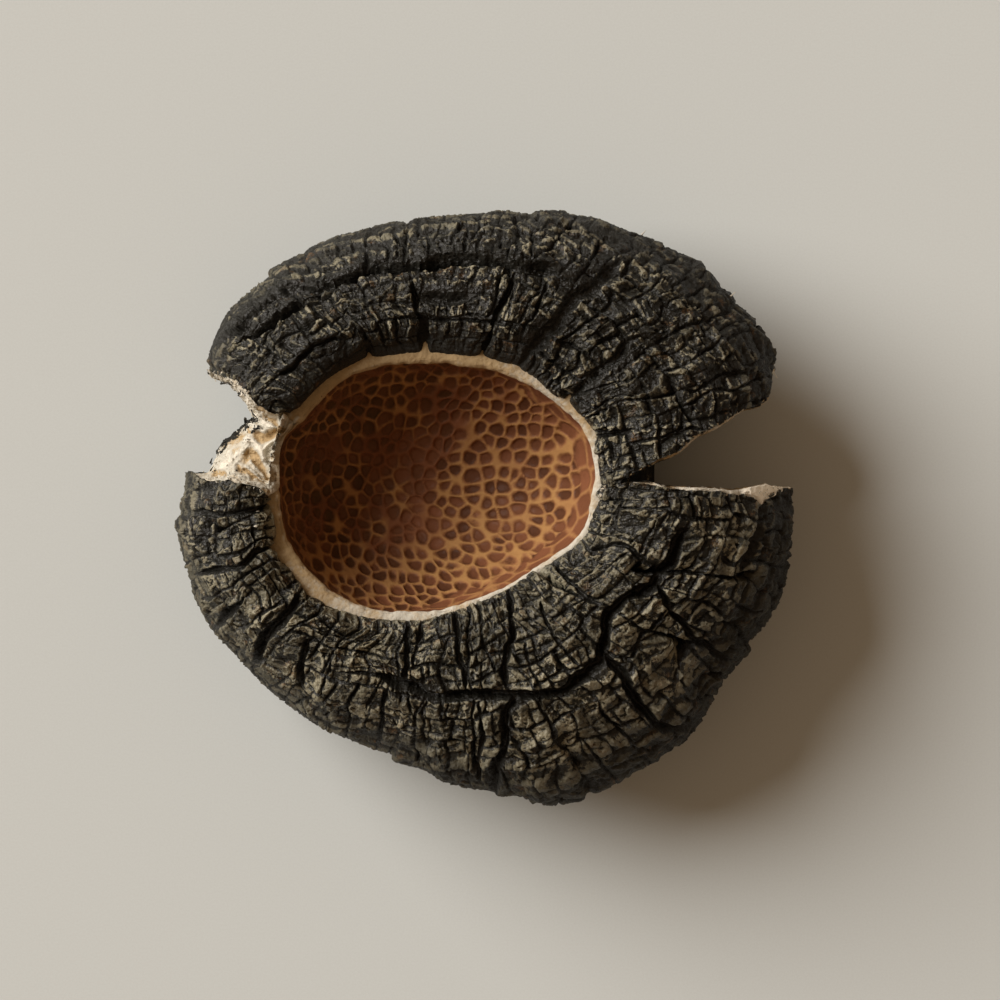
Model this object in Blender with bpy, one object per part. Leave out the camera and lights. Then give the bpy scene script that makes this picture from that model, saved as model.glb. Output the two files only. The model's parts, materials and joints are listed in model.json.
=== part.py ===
"""A chaga conk: one grown piece, cut off flat where it sat on its tree.

It is a bun of black, checked crust with a deep oval hollow in its top. A broken pale ring edges the hollow,
a wedge-shaped split runs in from the right, and a bite is torn out of the left side. Seen from above, +X is
right and +Y is up the page. Every length below is in millimetres, and the meshes are in metres.
"""

import bmesh
import bpy
import numpy as np

MM = 0.001

# Driving dimensions
HOLLOW_CENTRE = np.array((-15.4, 6.3))
HOLLOW_FLOOR = 27.0
HOLLOW_DRIFT = np.array((-9.0, -1.5))
RIM_HEIGHT = 66.5
CRUST_BREADTH = 60.0
SHELL_RUN = 150.0
BELOW_CUT = 5.0
MIDDLE = np.array((0.1, 0.1))
PROUD = 1.01

# The lumps in the crust, each as a height and a size
BROAD_LUMP = (1.6, 45.0)
SMALL_LUMP = (0.5, 13.0)
# The seam is the angle at which the blocks start. The girth is the crust's radius against the run from the ring.
BLOCK = 13.0
CHECK_WIDTH = 1.7
CHECK_DEPTH = 1.9
CHECK_SEED = 11
SEAM = 0.1
GIRTH = ((0, 62), (60, 95), (SHELL_RUN, 60))
# How far the checks wander from straight rows and columns, each as a distance and a size
WANDER_ROUND = (1.4, 14.0)
WANDER_DOWN = (1.6, 17.0)
# The relief grows from nothing over so many rows at the ring, and so many millimetres above the cut
RING_ROWS = 9
FOOT_FADE = 14.0

# Mesh density
MERIDIANS = 720
HOLLOW_ROWS = 40
CRUST_ROWS = 120
UNDERSIDE_ROWS = 70
TRIANGLES = 8300

# The conk's edge seen from above, as it grew, before the wedge and the bite
OUTLINE = (
    (-90, 47), (-84, 62), (-70, 75.5), (-56, 85), (-38, 90.7), (-18, 94.5), (5, 96.5), (25, 96.4),
    (41, 92.4), (60, 84.3), (75, 74.5), (86, 63), (94, 51), (95.5, 42), (97.5, 32), (99.3, 20),
    (100, 8), (100.3, -4), (99.4, -16), (96.8, -28), (90.5, -39.5), (84, -50), (76, -60), (68, -73),
    (56, -82.5), (43, -90), (30, -95.7), (18, -96.6), (2, -92.5), (-14, -89), (-28.5, -82), (-45, -75),
    (-60, -67), (-76, -53.5), (-88, -40.5), (-95, -28), (-98.7, -15), (-100.3, -5), (-98.8, 4),
    (-98, 14), (-97, 26), (-94, 38),
)
# The outer edge of the pale ring, and the hollow's edge inside it
RIM = (
    (38, 7), (36.6, 20), (33, 28.5), (26, 35.5), (17, 41.8), (6, 47.5), (-6, 49.6), (-22, 50),
    (-37, 49.3), (-49, 43.5), (-58, 36), (-65, 28), (-69.5, 18), (-70.8, 7), (-69, -5), (-66.5, -15.5),
    (-60, -25.5), (-52, -31.5), (-40, -35.5), (-25, -36.8), (-12, -34.6), (2, -29.3), (14, -21.8),
    (26, -14.8), (33, -8.3), (36.6, 0),
)
LIP = (
    (36, 9), (34.7, 19.5), (31, 27.3), (24.5, 33.2), (15, 39.6), (4, 44.5), (-8, 46.5), (-22, 47),
    (-36, 45.4), (-47, 40.7), (-55.5, 33), (-62.5, 25.5), (-66.7, 17), (-67.4, 8), (-66, -4),
    (-62.5, -14), (-56, -22.5), (-48, -28.7), (-38, -33.1), (-25, -34.8), (-12, -33.5), (1, -28.6),
    (13, -21.4), (25, -14), (32, -7.6), (35, 1),
)
# Height against the share of the way from the ring to the outline
CRUST = (
    (0.0, 66.5), (0.035, 70), (0.12, 73.6), (0.25, 75.6), (0.4, 75), (0.56, 71.6), (0.72, 65.2),
    (0.85, 56.8), (0.95, 47), (1.0, 37.5),
)
# Height against the share of the outline's reach, in under the edge to the cut
UNDERSIDE = ((1.0, 37.5), (0.99, 32), (0.955, 25), (0.89, 18.5), (0.8, 12.5), (0.71, 6.5), (0.65, 0), (0.62, -5))

# The main cracks seen from above, each with its width, its depth and the points that it runs through
CRACKS = (
    (3.6, 5.5, ((-46, -53), (-35, -54.5), (-27, -57), (-17, -60.5), (-3, -59.5), (15, -60.5), (25, -59),
                (31, -53.5), (37.3, -48), (39, -38), (43, -31.5), (54, -25.5), (60, -17), (65, -6.5))),
    (3.0, 4.5, ((38, -46), (43, -52), (48, -61), (55, -69.5), (64, -70.5), (71, -66), (77, -63))),
    (3.2, 4.5, ((14, -60.5), (8, -63.5), (6.5, -73), (3, -83), (3, -97))),
    (2.4, 3.5, ((56, -23.5), (60, -32.5), (67, -42), (75, -48), (84, -51))),
    (1.8, 2.4, ((59, -33), (53, -40), (46, -49))),
    (2.2, 3.2, ((8, -25.5), (9, -38.5), (7.5, -47), (7, -59))),
    (2.4, 3.2, ((-24.5, -36), (-24.5, -45), (-25, -57))),
    (2.0, 2.8, ((-10, -34), (-8, -50), (-6, -59))),
    (3.0, 4.5, ((-59.5, -27), (-64, -35), (-71.5, -44), (-77, -55))),
    (2.8, 3.8, ((-90, -42), (-82, -33.5), (-77, -28.5))),
    (2.6, 3.2, ((-68, -12.5), (-79.5, -19.5), (-97, -22.5))),
    (2.2, 2.8, ((-69, 0.5), (-82, -2), (-101, -1.5))),
    (2.6, 3.2, ((-89, -2), (-89, -10), (-85, -20))),
    (2.4, 2.8, ((-54, -43), (-58, -47), (-60, -67))),
    (2.2, 2.6, ((-31, -57), (-33.5, -70), (-35, -80))),
    (2.0, 2.4, ((-2, -60), (-1, -76), (-2, -93))),
    (2.0, 2.4, ((34, -12.5), (45, -12), (56, -19))),
    (2.0, 2.4, ((22, -17), (31, -27), (38.5, -33))),
    (3.4, 2.4, ((90, 8), (89.7, 0.5), (85, -14), (83, -22))),
    (3.6, 5.0, ((-91, 50), (-81, 55.5), (-71, 64), (-59, 70), (-39, 76.5), (-26, 76.5), (-12, 78.4), (8, 76),
                (26, 75))),
    (2.6, 3.6, ((-78, 52.5), (-66, 60), (-55, 66))),
    (2.2, 2.6, ((-67, 42), (-57, 50), (-44, 55))),
    (2.0, 2.6, ((-37.5, 48), (-38.5, 57), (-38, 64))),
    (2.2, 3.0, ((-19, 50), (-19.5, 60), (-22.5, 73))),
    (2.2, 3.0, ((0, 48), (2.5, 58.5), (10, 76))),
    (3.4, 2.4, ((-38, 66), (-15, 67.5), (5, 66))),
    (3.2, 3.4, ((11, 45), (20, 56), (28, 66), (44, 80), (52, 89))),
    (2.8, 2.8, ((27, 35), (36, 43.5), (50, 55), (62, 66))),
    (2.2, 2.6, ((36.5, 23), (48, 25.5), (64, 24.5), (74, 26))),
    (2.2, 2.6, ((69, 27), (62, 37), (74, 41.5), (96, 46))),
    (2.4, 2.6, ((-28, 84.5), (-3, 84.5), (20, 86))),
    (2.0, 2.2, ((-25.5, 76), (-24, 95))),
    (2.0, 2.2, ((5, 77), (6, 98))),
)

# The split seen from above: up the gap's upper wall, and back along its lower wall
WEDGE_UPPER = (
    (41, 6), (47, 10.5), (53, 13.8), (63, 18.6), (69.5, 24), (76, 26.8), (84, 31.8), (91, 35), (120, 48),
)
WEDGE_LOWER = ((120, 5), (97, 6.5), (88, 6.8), (80, 5), (70, 6), (58, 7), (50, 8.2))
# The steps of the split's floor, as a place along +X and a height
WEDGE_STEPS = ((45, 40), (51, 22), (58, -10))

# The bite seen from above, where it meets the crust and ring, halfway down, and through the underside
BITE_TOP = (
    (-125, 47), (-89, 44), (-77, 38.5), (-66.5, 30.5), (-64.5, 27), (-67.8, 20), (-69.3, 13), (-69.8, 6.8),
    (-80, 8.3), (-95, 11.5), (-125, 13),
)
BITE_MIDDLE = (
    (-125, 46.5), (-88.5, 43.5), (-78.5, 38.5), (-70.5, 31.5), (-69.5, 28.5), (-73.5, 24.5), (-79, 17),
    (-81, 10.5), (-86, 9.5), (-95, 11.5), (-125, 13),
)
BITE_BOTTOM = (
    (-125, 46), (-88, 43), (-79.5, 39), (-73.5, 32), (-72, 29.5), (-77, 26.3), (-85.5, 18.5), (-89, 14.5),
    (-89.5, 11.5), (-95, 11.5), (-125, 13),
)
BITE_HEIGHTS = (90.0, 66.0, 52.0, 24.0, -12.0)


def smooth(points, steps=12, closed=True):
    """A Catmull-Rom curve through the points."""
    points = np.array(points, float)
    if closed:
        before, here, after, beyond = (np.roll(points, shift, axis=0) for shift in (1, 0, -1, -2))
    else:
        padded = np.vstack((2 * points[0] - points[1], points, 2 * points[-1] - points[-2]))
        before, here, after, beyond = padded[:-3], padded[1:-2], padded[2:-1], padded[3:]
    t = (np.arange(steps) / steps)[:, None, None]
    curve = here + 0.5 * (
        (after - before) * t
        + (2 * before - 5 * here + 4 * after - beyond) * t**2
        + (3 * here - before - 3 * after + beyond) * t**3
    )
    curve = curve.transpose(1, 0, 2).reshape(-1, points.shape[1])
    return curve if closed else np.vstack((curve, points[-1]))


def stations(points, rows):
    """So many evenly spaced places along an open curve."""
    curve = smooth(points, closed=False)
    run = np.append(0, np.cumsum(np.linalg.norm(np.diff(curve * (CRUST_BREADTH, 1), axis=0), axis=1)))
    where = np.linspace(0, run[-1], rows)
    return np.array([np.interp(where, run, column) for column in curve.T])


def reach(points, angles):
    """How far a closed outline lies from the hollow's centre in each direction."""
    arms = smooth(points) - HOLLOW_CENTRE
    turns = np.arctan2(arms[:, 1], arms[:, 0])
    order = np.argsort(turns)
    return np.interp(angles, turns[order], np.hypot(*arms.T)[order], period=2 * np.pi)


def lumps(places, height_and_size, seed):
    """Smooth lumps of about such a height and size."""
    height, size = height_and_size
    draw = np.random.default_rng(seed)
    total = np.zeros(places.shape[:-1])
    for _ in range(14):
        heading = draw.normal(size=3)
        heading *= 2 * np.pi / (size * draw.uniform(0.8, 1.6) * np.linalg.norm(heading))
        total += np.sin(places @ heading + draw.uniform(0, 2 * np.pi))
    return height * total / 4


def crack_depth(x, y):
    """How deep the main cracks are at each place seen from above."""
    depth = np.zeros(x.shape)
    for width, most, points in CRACKS:
        curve = smooth(points, 5, closed=False)
        for start, end in zip(curve[:-1], curve[1:]):
            low, high = np.minimum(start, end) - width, np.maximum(start, end) + width
            near = (x > low[0]) & (x < high[0]) & (y > low[1]) & (y < high[1])
            place = np.stack((x[near], y[near]), axis=-1) - start
            along = np.clip(place @ (end - start) / max(np.sum((end - start) ** 2), 1e-9), 0, 1)
            gap = np.linalg.norm(place - along[:, None] * (end - start), axis=1)
            depth[near] = np.maximum(depth[near], most * np.clip(1.35 - gap / width * 1.5, 0, 1))
    return depth


def check_depth(turn, down, radius):
    """How deep the checks between the crust's blocks are. Each block splits across its longer way."""
    depth = np.zeros(turn.shape)
    blocks = [(1, np.arange(turn.size), SEAM, SEAM + 2 * np.pi, 0.0, SHELL_RUN)]
    while blocks:
        number, inside, left, right, top, bottom = blocks.pop()
        draw = np.random.default_rng((CHECK_SEED, number))
        share, lean, enough = draw.uniform(0.36, 0.64), draw.normal(0, 0.1), BLOCK * draw.uniform(0.9, 1.7)
        middle = (top + bottom) / 2
        wide, tall = (right - left) * np.interp(middle, *zip(*GIRTH)), bottom - top
        if max(wide, tall) < enough:
            continue
        if number > 1 and wide > tall * 1.2:
            cut = left + share * (right - left)
            side = (turn[inside] - cut) * radius[inside] + lean * (down[inside] - middle)
            halves = ((left, cut, top, bottom), (cut, right, top, bottom))
        else:
            cut = top + share * (bottom - top)
            side = down[inside] - cut
            halves = ((left, right, top, cut), (left, right, cut, bottom))
        groove = CHECK_DEPTH * np.clip(1.3 - np.abs(side) / CHECK_WIDTH, 0, 1)
        depth[inside] = np.maximum(depth[inside], groove)
        for which, half in enumerate(halves):
            blocks.append((2 * number + which, inside[(side < 0) ^ bool(which)], *half))
    return depth


def material(name, colour, roughness):
    finish = bpy.data.materials.new(name)
    finish.use_nodes = True
    shader = finish.node_tree.nodes["Principled BSDF"]
    shader.inputs["Base Color"].default_value = (*colour, 1)
    shader.inputs["Roughness"].default_value = roughness
    shader.inputs["Metallic"].default_value = 0
    return finish


def solid(name, points, faces):
    """An object from points in millimetres."""
    mesh = bpy.data.meshes.new(name)
    mesh.from_pydata((np.asarray(points, float) * MM).tolist(), [], faces)
    body = bpy.data.objects.new(name, mesh)
    bpy.context.scene.collection.objects.link(body)
    return body


def spread_to(shell, outline):
    """Widens each meridian, so that the blocks' faces and not their cracks lie on the outline."""
    arms = shell[..., :2] - HOLLOW_CENTRE
    widest = np.linalg.norm(arms, axis=-1).max(axis=0)
    faces = np.max([np.roll(widest, turn) for turn in range(-MERIDIANS // 90, MERIDIANS // 90 + 1)], axis=0)
    trend = np.mean([np.roll(faces, turn) for turn in range(-MERIDIANS // 60, MERIDIANS // 60 + 1)], axis=0)
    shell[..., :2] = HOLLOW_CENTRE + arms * (PROUD * outline / trend)[:, None]


def grown_surface():
    """Rows of places from the hollow's floor over the ring and crust to the underside, one column a meridian."""
    angles = np.linspace(0, 2 * np.pi, MERIDIANS, endpoint=False)
    outline, rim, lip = (reach(curve, angles) for curve in (OUTLINE, RIM, LIP))
    heading = np.stack((np.cos(angles), np.sin(angles)), axis=-1)

    inward = np.sin(np.linspace(0, np.pi / 2, HOLLOW_ROWS + 1)[1:])[:, None]
    hollow = HOLLOW_CENTRE + HOLLOW_DRIFT * (1 - inward[..., None] ** 2) + heading * (inward * lip)[..., None]
    hollow_z = RIM_HEIGHT - (RIM_HEIGHT - HOLLOW_FLOOR) * (1 - inward**2.6) ** 0.62 * np.ones(MERIDIANS)

    share, crust_z = stations(CRUST, CRUST_ROWS)
    crust_reach = rim + share[:, None] * (outline - rim)
    fraction, under_z = stations(UNDERSIDE, UNDERSIDE_ROWS)
    under_reach = fraction[1:, None] * outline
    shell_reach = np.vstack((crust_reach, under_reach))
    shell_z = np.append(crust_z, under_z[1:])[:, None] * np.ones(MERIDIANS)
    shell = np.dstack((HOLLOW_CENTRE + heading * shell_reach[..., None], shell_z))
    hollow = np.dstack((hollow, hollow_z))

    step_down = np.gradient(shell, axis=0)
    step_round = np.roll(shell, -1, axis=1) - np.roll(shell, 1, axis=1)
    outward = np.cross(step_down, step_round)
    outward /= np.linalg.norm(outward, axis=-1, keepdims=True)

    seen = np.minimum(shell_reach, np.where(np.arange(len(shell))[:, None] < CRUST_ROWS, shell_reach, outline - 0.5))
    x, y = (HOLLOW_CENTRE + heading * seen[..., None]).transpose(2, 0, 1)
    down = np.cumsum(np.linalg.norm(step_down, axis=-1), axis=0) + lumps(shell, WANDER_DOWN, 4)
    turn = np.mod(angles + lumps(shell, WANDER_ROUND, 3) / shell_reach - SEAM, 2 * np.pi) + SEAM
    checks = check_depth(turn.ravel(), down.ravel(), shell_reach.ravel()).reshape(turn.shape)
    relief = np.maximum(crack_depth(x, y), checks)
    from_rim = np.clip(np.arange(len(shell))[:, None] / RING_ROWS, 0, 1)
    to_cut = np.clip(shell_z / FOOT_FADE, 0, 1)
    rise = lumps(shell, BROAD_LUMP, 5) + lumps(shell, SMALL_LUMP, 6)
    shell += outward * ((rise * from_rim - relief * np.sqrt(from_rim)) * to_cut)[..., None]
    spread_to(shell, outline)
    return np.concatenate((hollow, shell)) - (*MIDDLE, 0)


def conk():
    rows = grown_surface()
    count = len(rows)
    floor = (*(HOLLOW_CENTRE + HOLLOW_DRIFT - MIDDLE), HOLLOW_FLOOR)
    foot = (*(HOLLOW_CENTRE - MIDDLE), -BELOW_CUT)
    points = np.vstack((rows.reshape(-1, 3), floor, foot))
    faces = []
    for column in range(MERIDIANS):
        beside = (column + 1) % MERIDIANS
        faces.append((count * MERIDIANS, column, beside))
        last = (count - 1) * MERIDIANS
        faces.append((count * MERIDIANS + 1, last + beside, last + column))
        for row in range(count - 1):
            upper, lower = row * MERIDIANS, (row + 1) * MERIDIANS
            faces.append((upper + column, lower + column, lower + beside, upper + beside))
    body = solid("chaga_conk", points, faces)
    fewer = body.modifiers.new("crust relief in few faces", "DECIMATE")
    fewer.ratio = TRIANGLES / (2 * count * MERIDIANS)
    fewer.use_collapse_triangulate = True
    return body


def loft(name, levels):
    """A closed cutter through outlines of equal point counts, given with the highest first."""
    sides = len(levels[0][1])
    points = [(x, y, height) for height, outline in levels for x, y in outline]
    faces = [tuple(range(sides)), tuple(reversed(range(len(points) - sides, len(points))))]
    for level in range(len(levels) - 1):
        for corner in range(sides):
            here, beside = level * sides + corner, level * sides + (corner + 1) % sides
            faces.append((here, here + sides, beside + sides, beside))
    return solid(name, points, faces)


def cut_away(body, cutter):
    """Takes the cutter's shape out of the body. Its twisted faces are made triangles, and all face out."""
    shape = bmesh.new()
    shape.from_mesh(cutter.data)
    bmesh.ops.triangulate(shape, faces=shape.faces)
    bmesh.ops.recalc_face_normals(shape, faces=shape.faces)
    shape.to_mesh(cutter.data)
    shape.free()
    cutter.hide_render = True
    cutter.display_type = "WIRE"
    cut = body.modifiers.new(cutter.name, "BOOLEAN")
    cut.operation = "DIFFERENCE"
    cut.object = cutter


def split():
    """The wedge-shaped gap, which goes right through but for the stepped floor at its inner end."""
    outline = WEDGE_UPPER + WEDGE_LOWER
    lows = [np.interp(x, *zip(*WEDGE_STEPS)) for x, _ in outline]
    sides = len(outline)
    points = [(x, y, 95) for x, y in outline] + [(x, y, low) for (x, y), low in zip(outline, lows)]
    faces = [tuple(range(sides)), tuple(reversed(range(sides, 2 * sides)))]
    faces += [(i, i + sides, (i + 1) % sides + sides, (i + 1) % sides) for i in range(sides)]
    return solid("split cutter", points, faces)


def bite():
    outlines = (BITE_TOP, BITE_TOP, BITE_MIDDLE, BITE_BOTTOM, BITE_BOTTOM)
    return loft("bite cutter", list(zip(BITE_HEIGHTS, outlines)))


def tree_side():
    """Everything below the flat cut."""
    edge = ((-130, -130), (130, -130), (130, 130), (-130, 130))
    return loft("tree side cutter", [(0, edge), (-40, edge)])


def main():
    for leftover in list(bpy.data.objects):
        bpy.data.objects.remove(leftover)
    body = conk()
    body.data.materials.append(material("black crust", (0.03, 0.028, 0.024), 0.85))
    for cutter in (split(), bite(), tree_side()):
        cut_away(body, cutter)


main()
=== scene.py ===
"""The looks of a chaga conk: its cracked black crust, pale torn flesh and netted hollow.

Seen from above, +X is right and +Y is up the page. The outlines and cracks were placed in that view.
Lengths in the tables and in the functions that shape surfaces are in millimetres. Everything that reaches
Blender is in metres.
"""

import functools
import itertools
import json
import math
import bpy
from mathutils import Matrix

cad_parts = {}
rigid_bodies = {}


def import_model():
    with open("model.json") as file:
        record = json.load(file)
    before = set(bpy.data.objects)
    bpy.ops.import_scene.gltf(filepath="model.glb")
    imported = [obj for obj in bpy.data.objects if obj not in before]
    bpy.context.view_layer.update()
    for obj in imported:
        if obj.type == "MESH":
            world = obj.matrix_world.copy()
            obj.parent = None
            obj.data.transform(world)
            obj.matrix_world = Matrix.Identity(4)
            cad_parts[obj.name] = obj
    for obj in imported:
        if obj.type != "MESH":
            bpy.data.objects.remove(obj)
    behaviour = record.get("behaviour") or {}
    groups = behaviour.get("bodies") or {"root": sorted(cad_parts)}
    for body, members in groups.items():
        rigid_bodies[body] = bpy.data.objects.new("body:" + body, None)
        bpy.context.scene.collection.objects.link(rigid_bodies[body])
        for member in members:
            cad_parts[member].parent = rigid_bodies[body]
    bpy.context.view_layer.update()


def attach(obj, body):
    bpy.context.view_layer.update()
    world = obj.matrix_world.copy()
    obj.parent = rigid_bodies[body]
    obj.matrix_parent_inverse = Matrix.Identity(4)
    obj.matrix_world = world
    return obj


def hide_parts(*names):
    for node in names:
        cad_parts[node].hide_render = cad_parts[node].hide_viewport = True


bl_info = {
    "name": "Chaga Conk",
    "version": (1, 0, 0),
    "blender": (4, 5, 0),
    "location": "3D View > Sidebar > Chaga",
    "description": "Builds the crust, flesh and hollow of a chaga conk round its packed solid",
    "category": "Add Mesh",
}

import bpy
import numpy as np
from bpy.props import FloatProperty, FloatVectorProperty, PointerProperty
from mathutils import Euler, Vector
from mathutils.bvhtree import BVHTree

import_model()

MM = 0.001
NODE = "chaga_conk"

# The same driving dimensions as the solid. The outline's middle comes to lie on the origin.
HOLLOW_CENTRE = np.array((-15.4, 6.3))
HOLLOW_FLOOR = 27.0
HOLLOW_DRIFT = np.array((-9.0, -1.5))
RIM_HEIGHT = 66.5
CRUST_BREADTH = 60.0
MIDDLE = np.array((0.1, 0.1))
# How much wider than its outline the crust is drawn, because its cracks take some away
PROUD = 1.004
# The crust's lumps and the wander of its checks: how high and how broad each is
BROAD_LUMP = (1.6, 45.0)
SMALL_LUMP = (0.5, 13.0)
WANDER_ROUND = (1.4, 14.0)
WANDER_DOWN = (1.6, 17.0)
# The checks part the crust from this turn on all round, and this far down from the ring
SEAM = 0.1
SHELL_RUN = 150.0
# How far the crust is from the hollow's centre, at some distances down from the ring
GIRTH = ((0, 62), (60, 95), (SHELL_RUN, 60))
CHECK_SEED = 11
# The height over which the relief fades in above the flat cut
FOOT_FADE = 14.0
# How far a place is from any check, where none is near
FAR = 9.0
# The radius at which the crust is unrolled for the patterns that run along it
UNROLLED = 70.0
# The turns between which the crust's upper shoulder lies, and how far they ease. Along the ring there the
# crust is left smooth and painted darker, as shade.
SHOULDER = (0.75, 2.75, 0.25, 0.25)
# The hollowed faces of the blocks: size, tilt, hollow, seed, and their shares of the relief and of the tint
FACES = (
    (7.5, 0.16, 0.42, 61, 1.0, 0.45),
    (3.8, 0.26, 0.42, 62, 1.0, 0.45),
    (1.9, 0.26, 0.24, 63, 0.8, 0.25),
)
# The lowest that any skin comes, just clear of the surface that the conk lies on
CLEARANCE = 0.2
# What rises above this height is halved, so that no crest stands far out of the solid's box
CREST = 79.0
# How far the crust leans in over the ring
OVERHANG = 1.1

# Mesh density. The top rows reach to TOP_SHARE of the way from the ring to the outline.
COLUMNS = 1800
TOP_ROWS = 210
TOP_SHARE = 0.8
EDGE_ROWS = 30
UNDER_ROWS = 40
HOLLOW_COLUMNS = 560
HOLLOW_ROWS = 126
RING_COLUMNS = 1100
TORN_ROWS = 150

# The crust's profile from the ring to the outline, as shares of the way and heights
CRUST = (
    (0.0, 66.5), (0.035, 70), (0.12, 73.6), (0.25, 75.6), (0.4, 75), (0.56, 71.6), (0.72, 65.2),
    (0.85, 56.8), (0.95, 47), (1.0, 37.5),
)
# Its profile on from there to the foot, as shares of the outline's reach and heights
UNDERSIDE = (
    (1.0, 37.5), (0.99, 32), (0.955, 25), (0.89, 18.5), (0.8, 12.5), (0.71, 6.5), (0.65, 0), (0.62, -5),
)

# The conk's edge seen from above, clockwise from the top of the bite, bridged over the split and the bite
OUTLINE = (
    (-94, 37), (-89.5, 45), (-90, 48), (-89, 52), (-87, 57), (-84, 63), (-80.5, 67), (-75, 71.5), (-70.5, 75),
    (-69, 78), (-62, 81.5), (-58.5, 82.5), (-56, 85), (-49, 88), (-40, 90.3), (-30, 92.7), (-25, 92.5),
    (-22, 94), (-10, 95), (0, 95.8), (5, 96.5), (14, 95.8), (17, 96.6), (25, 96.7), (28, 95.6), (37, 93.7),
    (45, 90.5), (55, 87), (60, 84.3), (65, 82), (70, 79.8), (72, 77.5), (75, 74.5), (77, 71.5), (80, 69.5),
    (82.5, 66), (86, 63), (90.5, 57.5), (94.5, 50.5), (94, 47), (95, 43), (97, 33), (99, 22), (100, 12),
    (100, 2), (100.2, -3), (99.5, -14), (98.5, -21), (96.8, -28), (94.5, -33), (90.5, -39), (86, -44),
    (86, -47), (82, -51.5), (77, -57.5), (73, -65), (70, -70), (65, -76), (58, -80.5), (56, -82.5),
    (50, -85.5), (44.5, -89), (38, -92), (34, -91.8), (31.5, -95), (28, -96), (20, -96.9), (13, -95),
    (10, -93.8), (5, -93.8), (1, -92), (-6, -91), (-14, -89), (-20, -85.5), (-26, -83.5), (-28.5, -82.5),
    (-30, -80.3), (-36, -78.5), (-45, -75), (-55, -70.5), (-63, -65), (-70, -59.5), (-76, -53.5),
    (-83.5, -45.5), (-88, -40.5), (-91.5, -35), (-94.5, -29), (-96, -22.5), (-98.5, -15), (-100, -8),
    (-100.5, -5), (-98.8, -2), (-99, 1), (-97.5, 6.5), (-97, 20), (-96.5, 28),
)
# Where the crust ends at the pale ring, with the ring's spikes between the blocks
RING_EDGE = (
    (-64, 31), (-61, 33), (-58, 36), (-55.5, 38.5), (-52, 41.5), (-49, 43.5), (-45, 45.8), (-41, 48),
    (-38.6, 49.2), (-37.5, 50.8), (-36.4, 49.4), (-31, 49.3), (-23, 50.2), (-20.6, 51), (-19, 53.4),
    (-17.6, 50.9), (-13, 50.2), (-5, 49.6), (-1.8, 50), (-0.5, 51.2), (0.8, 49.6), (5, 48), (11, 46.5),
    (13.5, 44.5), (17, 42), (20, 39), (23, 36.5), (26.8, 35.6), (28.6, 37), (28.4, 34.4), (30, 32),
    (33, 28.5), (35, 26), (36.3, 23.5), (36.5, 20), (37, 15), (37.8, 9), (38.2, 6.5), (36.2, 4.5),
    (37.6, 3.3), (37, 1),
    (35, -2), (33, -8), (32, -9.5), (29, -12), (23, -16.5), (17, -19.5), (14, -21.5), (8, -26), (1, -29.5),
    (-8, -33), (-14, -35), (-18.5, -36.5), (-22, -36.8), (-34, -36.5), (-42, -34.8), (-50, -32.8),
    (-54, -30.3), (-57.5, -28.8), (-60, -25.5), (-64.5, -19), (-67, -15.5), (-69.3, -12.6), (-67.8, -9),
    (-69, -3), (-70.4, 1), (-70.8, 5), (-70.6, 12), (-69.4, 18), (-66.6, 25),
)
# The ring's profile from the hollow to the crust, as shares of its width and heights over the rim
RING_PROFILE = (
    (-0.04, -1.6), (0, -0.5), (0.1, 0.05), (0.22, 0.3), (0.36, 0.42), (0.5, 0.45), (0.64, 0.4), (0.78, 0.3),
    (0.9, 0.15), (1, 0),
)
# Where the pale ring ends at the brown of the hollow
HOLLOW_EDGE = (
    (-66.5, 20), (-64.5, 23.5), (-62, 26), (-59, 28.5), (-57, 31), (-54.5, 34), (-51, 37.5), (-47, 40.8),
    (-43, 43.2), (-38, 44.8), (-33, 46.3), (-28, 46.9), (-23, 47.2), (-13, 47.3), (-8, 46.5), (-2, 45.8),
    (3, 45), (8, 43.2), (13, 41), (17, 38.8), (21, 36), (25, 33), (28, 30.3), (31, 27.5), (33, 24.5),
    (34.5, 21), (35.5, 17), (36.3, 12), (36.4, 9), (35.6, 6), (35, 2), (34, -3), (32, -8), (28.5, -11.7),
    (25, -14.4), (10, -24.4), (0, -29.1), (-6, -31.3), (-12, -33.2), (-17, -34), (-25, -34.2), (-30, -34.2),
    (-34, -33.9), (-38, -33), (-42, -31.8), (-46, -29.7), (-50, -27.5), (-54, -24), (-57, -21), (-60, -17.5),
    (-62, -14.5), (-64.5, -10), (-65.7, -5), (-66.5, 0), (-67, 5), (-67.3, 10), (-67.2, 15),
)

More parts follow.
